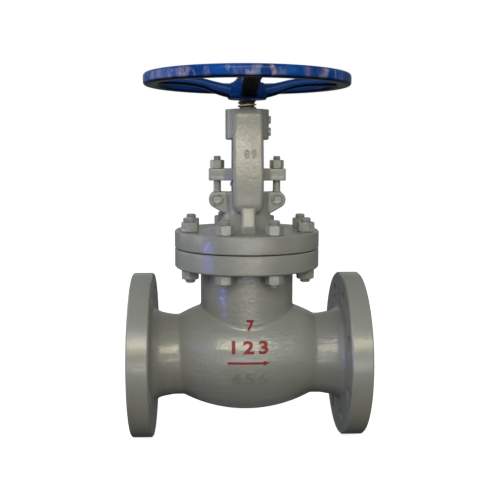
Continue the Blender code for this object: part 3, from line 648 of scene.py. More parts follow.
def rough_body():
    """The body as it comes from the mould, with metal left on its flanges to be turned off."""
    face, rim_r, top = FACE_X + CAST_EXTRA, BONNET_FLANGE_R + CAST_EXTRA, JOINT_Z + CAST_EXTRA
    half = [
        (0, face), (PIPE_FLANGE_R + CAST_EXTRA, face), (PIPE_FLANGE_R + CAST_EXTRA, FLANGE_BACK_X),
        (0.0725, FLANGE_BACK_X, 0.006), (0.0660, 0.134, 0.03), (END_NECK_R, 0.114, 0.03),
        (END_NECK_R, 0.094),
    ]
    run = moved(lathed("run", mirrored(half)), turn=ALONG_X)
    neck = [
        (0, top), (rim_r, top), (rim_r, BODY_FLANGE_LOW_Z), (NECK_R, BODY_FLANGE_LOW_Z, 0.005),
        (NECK_R, 0.040), (0, 0.040),
    ]
    return melted("body_casting", [run, bulb(0, BULB_HALF_LENGTH), lathed("neck", neck)], CAST_VOXEL, 5)


def flow_passages():
    """The space inside the body: one chamber from flange to flange, cut in two by the S-shaped wall."""
    inner_r = BULB_R - BULB_RISE - WALL
    half_length, face = 0.098, FACE_X - 0.03
    wall = [p for p in bulge(BULB_ARC_R - WALL, inner_r, half_length) if p[0] > PIPE_BORE_R]
    profile = [(0, face), (PIPE_BORE_R, face), (PIPE_BORE_R, 0.096), *wall]
    profile += [(PIPE_BORE_R, -0.096), (PIPE_BORE_R, -face), (0, -face)]
    run = moved(turned("passage", profile, SMALL_STEPS), turn=ALONG_X)
    chamber = cylinder("chamber", NECK_R - WALL, 0.008, JOINT_Z - 0.02, SMALL_STEPS)
    half_s = [(-0.082, 0.085), (-0.070, 0.085), (-0.060, WEB_HALF_HEIGHT), (0.064, WEB_HALF_HEIGHT)]
    outline = half_s + [(-x, -z) for x, z in half_s]
    web = moved(plate("web", [(x, -z) for x, z in outline], -0.080, 0.080), turn=ALONG_Y)
    return melted("flow_passages", [cut(united(run, chamber), web)], 0.003, 3)


def flange_cutter(rim_r, back, front, edge, soft, face):
    """All that the lathe takes off a flange: outside its rim, and in front of the points of its face."""
    tip, outside, far = 0.001, rim_r + 0.02, face[-1][1] + 0.02
    profile = [
        (0, far), (outside, far), (outside, back - tip), (rim_r - EDGE - tip, back - tip),
        (rim_r, back + EDGE, soft), (rim_r, front - edge, soft), (rim_r - edge, front, soft),
        *face,
    ]
    return lathed("lathe", profile)


def pipe_flange_cutter():
    front = FACE_X - RAISED_FACE_HEIGHT
    face = [(RAISED_FACE_R, front, 0.0004), (RAISED_FACE_R, FACE_X, 0.0004), (0, FACE_X)]
    return flange_cutter(PIPE_FLANGE_R, FLANGE_BACK_X, front, EDGE, 0.0007, face)


def end_bore():
    edge = 0.0015
    inner, outer = 0.100, FACE_X + 0.01
    profile = [
        (0, outer), (PIPE_BORE_R + edge + 0.01, outer), (PIPE_BORE_R, FACE_X - edge, 0.0008),
        (PIPE_BORE_R, inner), (0, inner),
    ]
    return lathed("end_bore", profile)


def pipe_holes(outwards):
    holes = []
    for _, y, z in bolt_circle(PIPE_HOLES, PIPE_HOLE_CIRCLE_R):
        hole = cylinder("hole", PIPE_HOLE_R, FLANGE_BACK_X - 0.006, FACE_X + 0.005, SMALL_STEPS)
        holes.append(moved(hole, (0, y, z), outwards))
    return joined("holes", holes)


def make_body():
    body = rough_body()
    cut(body, flow_passages())
    face = [(0, JOINT_Z)]
    cut(body, flange_cutter(BONNET_FLANGE_R, BODY_FLANGE_LOW_Z, JOINT_Z, TOP_EDGE, 0.0006, face))
    cut(body, cylinder("register", NECK_R - WALL, 0.12, JOINT_Z + 0.01))
    cut(body, cylinder("seat_pocket", SEAT_RING_R + GAP, -0.020, 0.020))
    for side in (-1, 1):
        outwards = Matrix.Rotation(side * pi / 2, 4, "Y")
        cut(body, moved(pipe_flange_cutter(), turn=outwards))
        cut(body, moved(end_bore(), turn=outwards), pipe_holes(outwards))
    cut(body, stud_holes(BODY_FLANGE_LOW_Z - 0.006, JOINT_Z + 0.006))
    finish(body, ["body"], "casting", sharp=28)
    near_rim = FLANGE_BACK_X + 0.0004
    paint_faces(body, "machined_x", lambda c: abs(c.x) > near_rim)
    paint_faces(body, "machined_z", lambda c: c.z > BODY_FLANGE_LOW_Z and off_axis(c) > TOP_RIM_R)


# Marks cast on the body ------------------------


def body_shell(rise):
    """The bulb and the body's neck, larger by rise."""
    neck = cylinder("neck_shell", NECK_R + rise, 0, 0.11)
    return united(bulb(rise, BULB_HALF_LENGTH - 0.02), neck)


def letters(text, width, height, middle_x, middle_z, weight):
    """Plain numerals, upright and facing -Y, stretched to a width and height."""
    curve = bpy.data.curves.new("numerals", "FONT")
    curve.body = text
    curve.align_x = "CENTER"
    curve.space_character = 1.35
    curve.offset = weight
    curve.extrude = 0.5
    curve.resolution_u = 4
    obj = placed("numerals", curve)
    mesh = evaluated_mesh(obj)
    discard([obj])
    bm = bmesh.new()
    bm.from_mesh(mesh)
    bmesh.ops.remove_doubles(bm, verts=bm.verts, dist=0.0001)
    bmesh.ops.recalc_face_normals(bm, faces=bm.faces)
    solid = new_object("numerals", bm)
    xs = [v.co.x for v in solid.data.vertices]
    ys = [v.co.y for v in solid.data.vertices]
    size = Matrix.Diagonal((width / (max(xs) - min(xs)), height / (max(ys) - min(ys)), MARKS_DEPTH, 1))
    centre = Matrix.Translation((-(max(xs) + min(xs)) / 2, -(max(ys) + min(ys)) / 2, 0))
    upright = Matrix.Rotation(pi / 2, 4, "X")
    place = Matrix.Translation((middle_x, MARKS_Y, middle_z))
    solid.data.transform(place @ upright @ size @ centre)
    return solid


def arrow(start_x, stop_x, z, thickness, head_length, head_height):
    half = thickness / 2
    neck = stop_x - head_length
    upper = [(start_x, half), (neck, half), (neck, head_height / 2), (stop_x, 0)]
    outline = [(x, z + h) for x, h in upper] + [(x, z - h) for x, h in reversed(upper[:-1])]
    return moved(plate("arrow", outline, 0.06, 0.115), turn=Matrix.Rotation(pi / 2, 4, "X"))


def finish_mark(solid, name, look):
    solid.name = name
    finish(solid, [], look, sharp=40)


def raised(solid, name, rise, look):
    """Trims a solid to what stands up to rise above the body's surface."""
    kept_inside(solid, body_shell(rise))
    cut(solid, body_shell(-MARK_ROOT))
    finish_mark(solid, name, look)


def make_marks():
    raised(letters("7", 0.011, 0.0165, 0.002, 0.0606, 0.03), "size_mark", 0.0011, "red")
    raised(letters("123", 0.0535, 0.0185, 0.001, 0.0300, 0.03), "class_mark", 0.0010, "red")
    raised(letters("456", 0.055, 0.0180, 0.0005, -0.0153, 0.02), "cast_mark", 0.0022, "cast_mark")
    raised(arrow(-0.0317, 0.030, 0.0075, 0.0030, 0.009, 0.0066), "flow_arrow", 0.0010, "red")


# Bonnet and yoke ------------------------


ARM_FRONT = (  # (z, distance from the stem's axis) up the outside of an arm
    (0.2230, 0.0430), (0.2270, 0.0494), (0.2330, 0.0524), (0.2400, 0.0534), (0.2550, 0.0537),
    (0.2720, 0.0526), (0.2900, 0.0503), (0.3100, 0.0470), (0.3300, 0.0435), (0.3500, 0.0411),
    (0.3690, 0.0400), (0.3765, 0.0365),
)


def yoke_arm(side):
    """An arm that bows out past the gland. Its section is rounded and narrower at the front."""
    front = smooth_route(ARM_FRONT, 60)
    back = [
        (0.2230, 0.0250), (0.2500, 0.0250), (0.2555, 0.0345), (0.2620, 0.0366), (0.2700, 0.0370),
        (0.2950, 0.0355), (0.3140, 0.0320), (0.3260, 0.0280), (0.3410, 0.0262), (0.3430, 0.0150),
        (0.3765, 0.0150),
    ]
    low, high = front[0][0], front[-1][0]
    bm = bmesh.new()
    rings = []
    for z in evenly(low, high, 90):
        out, inner = between(front, z), between(back, z)
        full = 0.5 + 0.5 * sqrt(1 - max(0, 1 - (z - low) / ARM_FOOT_HEIGHT) ** 2)
        half, narrow, corner = ARM_HALF_WIDTH * full, ARM_FRONT_HALF_WIDTH * full, 0.0052
        middle = inner + 0.60 * (out - inner)
        quarter = [
            (half, inner + 0.0005, 0.0022), (half, middle, 0.006), (narrow, out - 0.0012, corner),
            (0, out, 0.09),
        ]
        outline = filleted(both_sides(quarter), closed=True)
        rings.append([bm.verts.new((-side * x, side * y, z)) for x, y in outline])
    loft(bm, rings)
    return new_object("arm", bm)


def between(line, at):
    """The value on a line of (place, value) points, joined up by straight steps."""
    for (start, low), (stop, high) in zip(line, line[1:]):
        if at <= stop:
            return low + (high - low) * max(0, at - start) / (stop - start)
    return line[-1][1]


def loft(bm, rings):
    """Joins a row of rings that have the same number of points, and closes both ends."""
    for before, after in zip(rings, rings[1:]):
        for i in range(len(before)):
            j = (i + 1) % len(before)
            bm.faces.new([before[i], before[j], after[j], after[i]])
    bm.faces.new(rings[0][::-1])
    bm.faces.new(rings[-1])
    bmesh.ops.recalc_face_normals(bm, faces=bm.faces)


def yoke_rib(side):
    outline = [
        (0.0506, 0.2355), (0.0596, 0.2030, 0.008), (0.0720, 0.1945), (0.0400, 0.1935), (0.0360, 0.2335),
    ]
    line = filleted(outline, closed=True)
    rib = plate("rib", [(z, side * y) for y, z in line], -RIB_HALF_WIDTH, RIB_HALF_WIDTH, 0.0058, 4)
    return moved(rib, turn=ACROSS_X)


def gland_lug(side):
    """A round-ended lug for the eyebolt's pin, running out from the bonnet's neck."""
    rise = 0.0119
    arc = evenly(asin(rise / LUG_R), radians(-60), 14)
    end = [(EYEBOLT_X + LUG_R * cos(angle), LUG_R * sin(angle)) for angle in arc]
    outline = [(0.028, rise), *end, (0.0375, -0.0195), (0.028, -0.0210)]
    lug = plate("lug", [(side * x, -z) for x, z in outline], -LUG_HALF_WIDTH, LUG_HALF_WIDTH, 0.0014)
    return moved(lug, (0, 0, PIN_Z), ALONG_Y)


def rough_bonnet():
    rim_r = BONNET_FLANGE_R + CAST_EXTRA
    face, low = BONNET_FACE_Z - CAST_EXTRA, SPIGOT_LOW_Z - CAST_EXTRA
    shell = [
        (0, STUFFING_BOX_TOP_Z), (BONNET_NECK_R, STUFFING_BOX_TOP_Z), (BONNET_NECK_R, 0.2235, 0.03),
        (0.0375, 0.2145, 0.02), (0.0430, 0.2060, 0.02), (0.0520, 0.1992, 0.02),
        (0.0680, BONNET_FLANGE_TOP_Z, 0.01), (rim_r, BONNET_FLANGE_TOP_Z), (rim_r, face), (0.064, face),
        (0.064, low), (0, low),
    ]
    boss_top = BOSS_TOP_Z + 0.002
    boss = [(0, boss_top), (BOSS_R, boss_top), (BOSS_R, BOSS_LOW_Z, 0.002), (0, BOSS_LOW_Z)]
    parts = [lathed("shell", shell), lathed("boss", boss)]
    for side in (-1, 1):
        parts += [yoke_arm(side), yoke_rib(side), gland_lug(side)]
    return melted("bonnet_casting", parts, FINE_VOXEL, 5)


def bonnet_cutter():
    """All that the lathe takes off the bonnet's flange and its spigot."""
    spigot_r = NECK_R - WALL - 0.0006
    outside, low, soft, tip = BONNET_FLANGE_R + 0.02, SPIGOT_LOW_Z - 0.02, 0.0006, 0.001
    profile = [
        (0, SPIGOT_LOW_Z), (spigot_r, SPIGOT_LOW_Z, 0.0008), (spigot_r, BONNET_FACE_Z, 0.0003),
        (BONNET_FLANGE_R - TOP_EDGE, BONNET_FACE_Z, soft),
        (BONNET_FLANGE_R, BONNET_FACE_Z + TOP_EDGE, soft),
        (BONNET_FLANGE_R, BONNET_FLANGE_TOP_Z - EDGE, soft),
        (BONNET_FLANGE_R - EDGE - tip, BONNET_FLANGE_TOP_Z + tip), (outside, BONNET_FLANGE_TOP_Z + tip),
        (outside, low), (0, low),
    ]
    return lathed("bonnet_lathe", profile)


def bonnet_bore():
    stem_hole_r, high = STEM_R + 0.001, STUFFING_BOX_TOP_Z + 0.006
    backseat_r, backseat_top = 0.0205, 0.193
    profile = [
        (0, high), (STUFFING_BOX_R + 0.007, high),
        (STUFFING_BOX_R, STUFFING_BOX_TOP_Z - 0.0010, 0.0006), (STUFFING_BOX_R, STUFFING_BOX_LOW_Z),
        (stem_hole_r, STUFFING_BOX_LOW_Z), (stem_hole_r, backseat_top), (backseat_r, backseat_top),
        (backseat_r, 0.176), (0.030, 0.174, 0.004), (0.043, 0.167, 0.006), (0.048, 0.158, 0.006),
        (0.048, 0.145), (0, 0.145),
    ]
    return lathed("bonnet_bore", profile)


def lug_cutters(side):
    slot_low = (min(side * 0.0340, side * 0.062), -EYE_SLOT_HALF_WIDTH, 0.2275)
    slot_high = (max(side * 0.0340, side * 0.062), EYE_SLOT_HALF_WIDTH, 0.262)
    hole = cylinder("pin_hole", 0.0055, -0.03, 0.03, SMALL_STEPS)
    return [block("eye_slot", slot_low, slot_high), at_pin(hole, side)]


def pin_sink(side, face):
    """A shallow recess round one end of an eyebolt's pin."""
    depth, tip, radius = 0.0028, 0.002, 0.0079
    low, high = PIN_BOSS_HALF_WIDTH - depth, PIN_BOSS_HALF_WIDTH + tip
    sink = cylinder("pin_sink", radius, low, high, SMALL_STEPS)
    return moved(sink, (side * EYEBOLT_X, 0, PIN_Z), Matrix.Rotation(-face * pi / 2, 4, "X"))


def make_bonnet():
    bonnet = rough_bonnet()
    disc = mirrored([(0, PIN_BOSS_HALF_WIDTH), (0.0092, PIN_BOSS_HALF_WIDTH, 0.0006)])
    for side in (-1, 1):
        united(bonnet, at_pin(lathed("pin_boss", disc, SMALL_STEPS), side))
    sinks = [pin_sink(side, face) for side in (-1, 1) for face in (-1, 1)]
    cut(bonnet, bonnet_cutter(), bonnet_bore(), *sinks)
    top_face = cylinder("boss_face", 0.06, BOSS_TOP_Z, BOSS_TOP_Z + 0.02)
    edge = 0.0012
    bore = [
        (0, BOSS_TOP_Z + 0.004), (YOKE_NUT_R + GAP + edge + 0.004, BOSS_TOP_Z + 0.004),
        (YOKE_NUT_R + GAP, BOSS_TOP_Z - edge), (YOKE_NUT_R + GAP, BOSS_LOW_Z - 0.004),
        (0, BOSS_LOW_Z - 0.004),
    ]
    cut(bonnet, top_face, turned("boss_bore", bore))
    for side in (-1, 1):
        cut(bonnet, *lug_cutters(side))
    cut(bonnet, stud_holes(BONNET_FACE_Z - 0.004, BONNET_FLANGE_TOP_Z + 0.008))
    finish(bonnet, ["bonnet"], "yoke", sharp=28)
    top = BONNET_FLANGE_TOP_Z + 0.001
    paint_faces(bonnet, "machined_z", lambda c: c.z < top and off_axis(c) > TOP_RIM_R)


def make_yoke_number():
    """A plain number cast on the front arm, which leans back where the number stands."""
    x, z, rise, deep = 0.0030, 0.3115, 0.0020, 0.0015
    front = smooth_route(ARM_FRONT, 60)
    lean = atan2(between(front, z - 0.005) - between(front, z + 0.005), 0.010)
    slab = block("slab", (-0.02, -rise, -0.02), (0.02, deep, 0.02))
    moved(slab, (x, -between(front, z), z), Matrix.Rotation(-lean, 4, "X"))
    number = kept_inside(moved(letters("89", 0.0185, 0.0130, x, z, 0.02), (0, 0.040, 0)), slab)
    finish_mark(number, "yoke_number", "yoke_mark")


def make_boss_number():
    """Two plain numerals that stand well up from the right side of the boss and read upwards."""
    rise, length, width, middle_z = 0.0032, 0.0300, 0.0160, 0.3535
    upwards = Matrix.Rotation(pi / 2, 4, "Z") @ Matrix.Rotation(-pi / 2, 4, "Y")
    number = moved(letters("25", length, width, 0, 0, 0.02), (-0.052, 0, middle_z), upwards)
    kept_inside(number, cylinder("outer", BOSS_R + rise, BOSS_LOW_Z, BOSS_TOP_Z))
    cut(number, cylinder("inner", BOSS_R - MARK_ROOT, BOSS_LOW_Z - 0.01, BOSS_TOP_Z + 0.01))
    finish_mark(number, "boss_number", "yoke")


# Nuts, studs and eyebolts ------------------------


def nut(name, flats, low, high, bore_r, both_ends=True):
    """A hexagonal nut with its corners turned off and its bore countersunk."""
    corner_r = flats / sqrt(3)
    corners = [(corner_r * cos(pi * i / 3), corner_r * sin(pi * i / 3), 0.0006) for i in range(HEX)]
    body = plate(name, filleted(corners, closed=True, arc_points=3), low, high)
    face_r = flats / 2 * 0.965
    drop = (corner_r + 0.001 - face_r) * tan(radians(28))
    top = [(0, high), (face_r, high, 0.0004), (corner_r + 0.001, high - drop)]
    bottom = [(corner_r + 0.001, low + drop), (face_r, low, 0.0004), (0, low)]
    if not both_ends:
        bottom = [(corner_r + 0.001, low), (0, low)]
    kept_inside(body, lathed("barrel", top + bottom))
    sink = 0.0009
    bore = [
        (0, high + sink), (bore_r + 2 * sink, high + sink), (bore_r, high - sink), (bore_r, low + sink),
        (bore_r + 2 * sink, low - sink), (0, low - sink),
    ]
    return cut(body, turned("bore", bore, SMALL_STEPS))


def threaded_stud(low, high):
    """A rod with chamfered ends, threaded all along."""
    pitch, depth, edge = 0.002, 0.0012, STUD_R * 0.18
    middle_r = STUD_R - depth / 2
    start, stop = low + edge, high - edge
    upper = [(0, high), (middle_r - edge, high), (middle_r, stop)]
    lower = [(middle_r, start), (middle_r - edge, low), (0, low)]
    thread = (STUD_R, STUD_R - depth, pitch, start, stop, *V_THREAD)
    return turned("stud", upper + lower, 48, threads=[thread])


def make_bonnet_bolting():
    low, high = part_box("bonnet_stud_1")
    stud = threaded_stud(low.z, high.z)
    flats = 0.024
    nuts = {}
    for level in ("top", "under"):
        low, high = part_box(f"bonnet_nut_{level}_1")
        nuts[level] = nut(f"nut_{level}", flats, low.z, high.z, STUD_R + GAP)
    for i, (angle, x, y) in enumerate(bolt_circle(STUDS, STUD_CIRCLE_R)):
        copy_to(stud, f"stud_{i + 1}", (x, y, 0), 0.9 * i, [f"bonnet_stud_{i + 1}"])
        for level, pattern in nuts.items():
            copy_to(pattern, f"nut_{level}_{i + 1}", (x, y, 0), angle, [f"bonnet_nut_{level}_{i + 1}"])
    discard([stud, *nuts.values()])


def copy_to(pattern, name, place, angle, nodes):
    piece = moved(placed(name, pattern.data.copy()), place, Matrix.Rotation(angle, 4, "Z"))
    finish(piece, nodes, "fastener")


def make_eyebolt(side, word):
    half, eye_r, hole_r, soft = 0.006, 0.0105, 0.0056, 0.0012
    ring = [(eye_r, half, soft), (eye_r, -half, soft), (hole_r, -half, 0.0005), (hole_r, half, 0.0005)]
    eye = moved(lathed("eye", ring, SMALL_STEPS, ring=True), (0, 0, PIN_Z), ALONG_Y)
    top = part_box(f"eyebolt_{word}")[1].z
    plain = (PIN_Z + eye_r + 0.0035, 0.2785)
    edge, shank_r, depth = 0.0010, 0.0057, 0.0009
    middle_r = shank_r - depth / 2
    profile = [
        (0, top), (middle_r - edge, top), (middle_r, top - edge), (middle_r, plain[1]),
        (shank_r, plain[1] - 0.0006), (shank_r, plain[0], 0.004), (shank_r + 0.0020, PIN_Z + 0.0085),
        (shank_r, PIN_Z + 0.0064), (0, PIN_Z + 0.0064),
    ]
    thread = (shank_r, shank_r - depth, 0.0015, plain[1], top - edge, *V_THREAD)
    shank = lathed("shank", profile, 48, threads=[thread])
    for part in (eye, shank):
        moved(part, (side * EYEBOLT_X, 0, 0))
    united(eye, shank)
    eye.name = f"swing_bolt_{word}"
    finish(eye, [f"eyebolt_{word}"], "fastener", f"{word}_eyebolt")
    low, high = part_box(f"eyebolt_nut_{word}")
    piece = nut(f"gland_nut_{word}", 0.019, low.z, high.z, shank_r + GAP)
    moved(piece, (side * EYEBOLT_X, 0, 0))
    finish(piece, [f"eyebolt_nut_{word}"], "fastener", f"{word}_gland_nut")
    pin_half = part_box(f"eyebolt_pin_{word}")[1].y
    pin_r, head_r, head_low = 0.0052, 0.0057, PIN_BOSS_HALF_WIDTH - 0.0025
    end = [(0, pin_half), (head_r, pin_half, 0.0005), (head_r, head_low, 0.0003), (pin_r, head_low)]
    pin = at_pin(lathed(f"hinge_pin_{word}", mirrored(end), SMALL_STEPS), side)
    finish(pin, [f"eyebolt_pin_{word}"], "fastener")


# Gland and packing ------------------------


def ring_piece(name, node, outer, inner, soft, look, body="valve_body"):
    """A plain turned ring that fills its CAD node's height."""
    low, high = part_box(node)
    line = [(outer, high.z, soft), (outer, low.z, soft), (inner, low.z, soft), (inner, high.z, soft)]
    finish(lathed(name, line, ring=True), [node], look, body)


def make_packing():
    outer, inner = STUFFING_BOX_R - GAP, STEM_CLEAR_R
    ring_piece("packing_support_washer", "packing_washer", outer, inner, 0.0004, "trim")
    for i in range(1, PACKING_RINGS + 1):
        name, node = f"braided_packing_{i}", f"packing_ring_{i}"
        ring_piece(name, node, outer, inner, 0.0016, "graphite")
    ring_piece("joint_gasket", "bonnet_gasket", 0.082, 0.061, 0.0001, "graphite")


def make_gland():
    low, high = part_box("gland")
    collar_low, inner, outer = 0.2625, STEM_R + 0.0005, STUFFING_BOX_R - GAP
    line = [
        (GLAND_COLLAR_R - 0.003, high.z, 0.0005), (GLAND_COLLAR_R, high.z - 0.003, 0.0012),
        (GLAND_COLLAR_R, collar_low, 0.0008), (outer, collar_low, 0.0004), (outer, low.z, 0.0006),
        (inner, low.z, 0.0003), (inner, high.z, 0.0004),
    ]
    sleeve = lathed("gland_sleeve", line, ring=True)
    finish(sleeve, ["gland"], "machined_z")


def make_gland_flange():
    low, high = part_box("gland_flange")
    length, width, end = high.x, high.y, 0.0145
    quarter = [
        (length, end, 0.0030), (0.034, end + 0.0005, 0.012), (0.020, width - 0.002, 0.010),
        (0, width, 0.02),
    ]
    half = both_sides(quarter)
    outline = filleted(half + [(-x, -y, fillet) for x, y, fillet in half], closed=True)
    bar = plate("gland_bar", outline[::-1], low.z, high.z, 0.0012, 3)
    below, above = low.z - 0.004, high.z + 0.004
    cut(bar, cylinder("stem_hole", STEM_R + 0.0012, below, above))
    slot_r = 0.0068
    arc = evenly(pi / 2, 3 * pi / 2, 12)
    for side in (-1, 1):
        slot = [(side * (EYEBOLT_X + slot_r * cos(a)), slot_r * sin(a)) for a in arc]
        slot += [(side * (length + 0.004), -slot_r), (side * (length + 0.004), slot_r)]
        cut(bar, plate("slot", slot, below, above))
    finish(bar, ["gland_flange"], "fastener")


# Stem, yoke nut and trim ------------------------


def make_stem():
    low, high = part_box("stem")
    head_r, head_top, top_r = 0.020, low.z + 0.0093, 0.009
    shoulder_top, shoulder_r = 0.1415, 0.018
    cone = shoulder_r - STEM_R
    thread_r = (STEM_R + STEM_ROOT_R) / 2
    thread_top = HUB_LOW_Z - 0.0016
    top_thread_low = WASHER_LOW_Z + 0.0008
    top_thread_r = top_r - 0.0005
    profile = [
        (0, high.z), (top_thread_r - 0.0012, high.z), (top_thread_r, high.z - 0.0015),
        (top_thread_r, top_thread_low), (top_r, top_thread_low - 0.0004), (top_r, HUB_LOW_Z - 0.0008),
        (thread_r - 0.0008, HUB_LOW_Z - 0.0008), (thread_r, thread_top), (thread_r, STEM_THREAD_LOW_Z),
        (STEM_R - 0.0004, STEM_THREAD_LOW_Z - 0.0018), (STEM_R, STEM_THREAD_LOW_Z - 0.0026),
        (STEM_R, shoulder_top + cone, 0.0010), (shoulder_r, shoulder_top, 0.0006),
        (shoulder_r, shoulder_top - 0.006, 0.0006), (STEM_R, shoulder_top - 0.006 - cone, 0.0010),
        (STEM_R, head_top, 0.0010), (head_r, head_top, 0.0008), (head_r, low.z, 0.0012), (0, low.z),
    ]
    threads = [
        (STEM_R, STEM_ROOT_R, STEM_PITCH, STEM_THREAD_LOW_Z, thread_top),
        (top_r, top_r - 0.001, 0.0015, top_thread_low, high.z - 0.0015, *V_THREAD),
    ]
    spindle = lathed("spindle", profile, 96, threads=threads)
    half = SQUARE_HALF_WIDTH
    corners = [(half * x, half * y, 0.0008) for x, y in ((1, 1), (-1, 1), (-1, -1), (1, -1))]
    outline = filleted(corners, closed=True)
    united(spindle, plate("square", outline, HUB_LOW_Z - 0.0012, WASHER_LOW_Z - 0.0023, 0.0003, 1))
    finish(spindle, ["stem"], "stem", "stem_and_handwheel")


def make_yoke_nut():
    """The bush that the stem screws through, with the same thread in its bore."""
    low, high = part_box("yoke_nut")
    collar_r, collar_top = 0.0226, BOSS_LOW_Z - GAP
    clear = 0.0003
    inner = (STEM_R + STEM_ROOT_R) / 2 + clear
    edge = 0.0014
    line = [
        (YOKE_NUT_R, high.z, 0.0006), (YOKE_NUT_R, collar_top, 0.0003), (collar_r, collar_top, 0.0008),
        (collar_r, low.z, 0.0010), (inner + edge, low.z), (inner, low.z + edge), (inner, high.z - edge),
        (inner + edge, high.z),
    ]
    threads = [(STEM_R + clear, STEM_ROOT_R + clear, STEM_PITCH, low.z + edge, high.z - edge)]
    bush = lathed("stem_nut", line, 96, ring=True, threads=threads)
    finish(bush, ["yoke_nut"], "bronze")


def make_seat_ring():
    flange_r, low = 0.0578, -WEB_HALF_HEIGHT - 0.002
    line = [
        (SEAT_R + SEAT_CONE, SEAT_TOP_Z, 0.0003), (flange_r, SEAT_TOP_Z, 0.0008),
        (flange_r, WEB_HALF_HEIGHT + GAP, 0.0004), (SEAT_RING_R, WEB_HALF_HEIGHT + GAP),
        (SEAT_RING_R, low, 0.0008), (SEAT_R, low, 0.0006), (SEAT_R, SEAT_TOP_Z - SEAT_CONE, 0.0003),
    ]
    finish(lathed("seat", line, ring=True), ["seat_ring"], "trim")


def make_disc():
    disc_r, shoulder, socket_low, rest = 0.056, 0.026, 0.030, 0.0002
    line = [
        (0, socket_low), (DISC_SOCKET_R, socket_low, 0.0006), (DISC_SOCKET_R, DISC_HIGH_Z, 0.0004),
        (DISC_HUB_R, DISC_HIGH_Z, 0.0012), (DISC_HUB_R, shoulder + 0.001, 0.004),
        (disc_r, shoulder - 0.001, 0.0012), (disc_r, SEAT_TOP_Z + GAP, 0.0008),
        (SEAT_R + SEAT_CONE - rest, SEAT_TOP_Z + GAP, 0.0003),
        (SEAT_R - rest, SEAT_TOP_Z - SEAT_CONE + rest, 0.0003), (0, SEAT_TOP_Z - SEAT_CONE + rest),
    ]
    finish(lathed("valve_disc", line), ["disc"], "trim", "disc_assembly")


def make_thrust_pad():
    low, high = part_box("thrust_pad")
    line = [(0, high.z), (0.012, high.z, 0.0006), (0.012, low.z, 0.0006), (0, low.z)]
    finish(lathed("stem_thrust_pad", line), ["thrust_pad"], "bronze", "disc_assembly")


def make_disc_nut():
    """A nut on top of the disc, with a skirt that holds the stem's head down in the socket."""
    low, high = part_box("disc_nut")
    flats, skirt_r, skirt_top = 2 * (DISC_HUB_R - 0.004), DISC_SOCKET_R - GAP, DISC_HIGH_Z + 0.001
    retainer = nut("disc_retaining_nut", flats, DISC_HIGH_Z + GAP, high.z, STEM_CLEAR_R, False)
    skirt = [
        (skirt_r, skirt_top), (skirt_r, low.z, 0.0008), (STEM_CLEAR_R, low.z),
        (STEM_CLEAR_R, skirt_top),
    ]
    united(retainer, lathed("skirt", skirt, SMALL_STEPS, ring=True))
    finish(retainer, ["disc_nut"], "trim", "disc_assembly")


def make_backseat():
    low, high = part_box("backseat_bush")
    outer, inner, cone = 0.0202, STEM_CLEAR_R, 0.004
    line = [
        (outer, high.z, 0.0004), (outer, low.z, 0.0004), (inner + cone, low.z), (inner, low.z + cone),
        (inner, high.z),
    ]
    finish(lathed("backseat", line, ring=True), ["backseat_bush"], "bronze")


# Handwheel ------------------------

SPOKES = 4
SPOKE_TURN = radians(2.3)


def squared_oval(half_width, half_height, count, power):
    """Points round an oval whose sides are flatter the higher the power."""
    points = []
    for i in range(count):
        a = 2 * pi * i / count
        x, y = abs(cos(a)) ** (2 / power), abs(sin(a)) ** (2 / power)
        points.append((half_width * (x if cos(a) > 0 else -x), half_height * (y if sin(a) > 0 else -y)))
    return points


def rim():
    middle_r, middle_z = WHEEL_R - RIM_WIDTH / 2, (RIM_LOW_Z + RIM_HIGH_Z) / 2
    section = squared_oval(RIM_WIDTH / 2, (RIM_HIGH_Z - RIM_LOW_Z) / 2, 56, 4.5)
    line = [(middle_r + x, middle_z + z) for x, z in reversed(section)]
    return turned("rim", line, 240, ring=True)


def spoke(index):
    """A flat bar with soft edges, deep and low at the hub and rising to the middle of the rim."""
    route = (
        (0.012, 0.4045, 0.0098), (0.030, 0.4055, 0.0098), (0.048, 0.4098, 0.0090),
        (0.068, 0.4160, 0.0074), (0.090, 0.4190, 0.0068), (0.118, 0.4200, 0.0066),
        (0.146, 0.4203, 0.0070),
    )
    bm = bmesh.new()
    rings = []
    smooth = smooth_route(route, 30)
    for step, (r, z, half_height) in enumerate(smooth):
        t = step / (len(smooth) - 1)
        half_width = 0.0132 + 0.0016 * max(0, 1 - 4 * t) ** 2 + 0.0030 * max(0, 5 * t - 4) ** 2
        section = squared_oval(half_width, half_height, 24, 3.2)
        rings.append([bm.verts.new((r, y, z + h)) for y, h in section])
    loft(bm, rings)
    turn = Matrix.Rotation(2 * pi * index / SPOKES + SPOKE_TURN, 4, "Z")
    return moved(new_object("spoke", bm), turn=turn)


def smooth_route(points, steps):
    """Evenly spaced points on a smooth curve through the given ones."""
    ends = [points[0], *points, points[-1]]
    line = []
    for along in evenly(0, len(points) - 1, steps):
        k = min(int(along), len(points) - 2)
        t = along - k
        a, b, c, d = (Vector(p) for p in ends[k : k + 4])
        bend, twist = 2 * a - 5 * b + 4 * c - d, 3 * b - 3 * c + d - a
        line.append(0.5 * (2 * b + (c - a) * t + bend * t**2 + twist * t**3))
    return [tuple(p) for p in line]


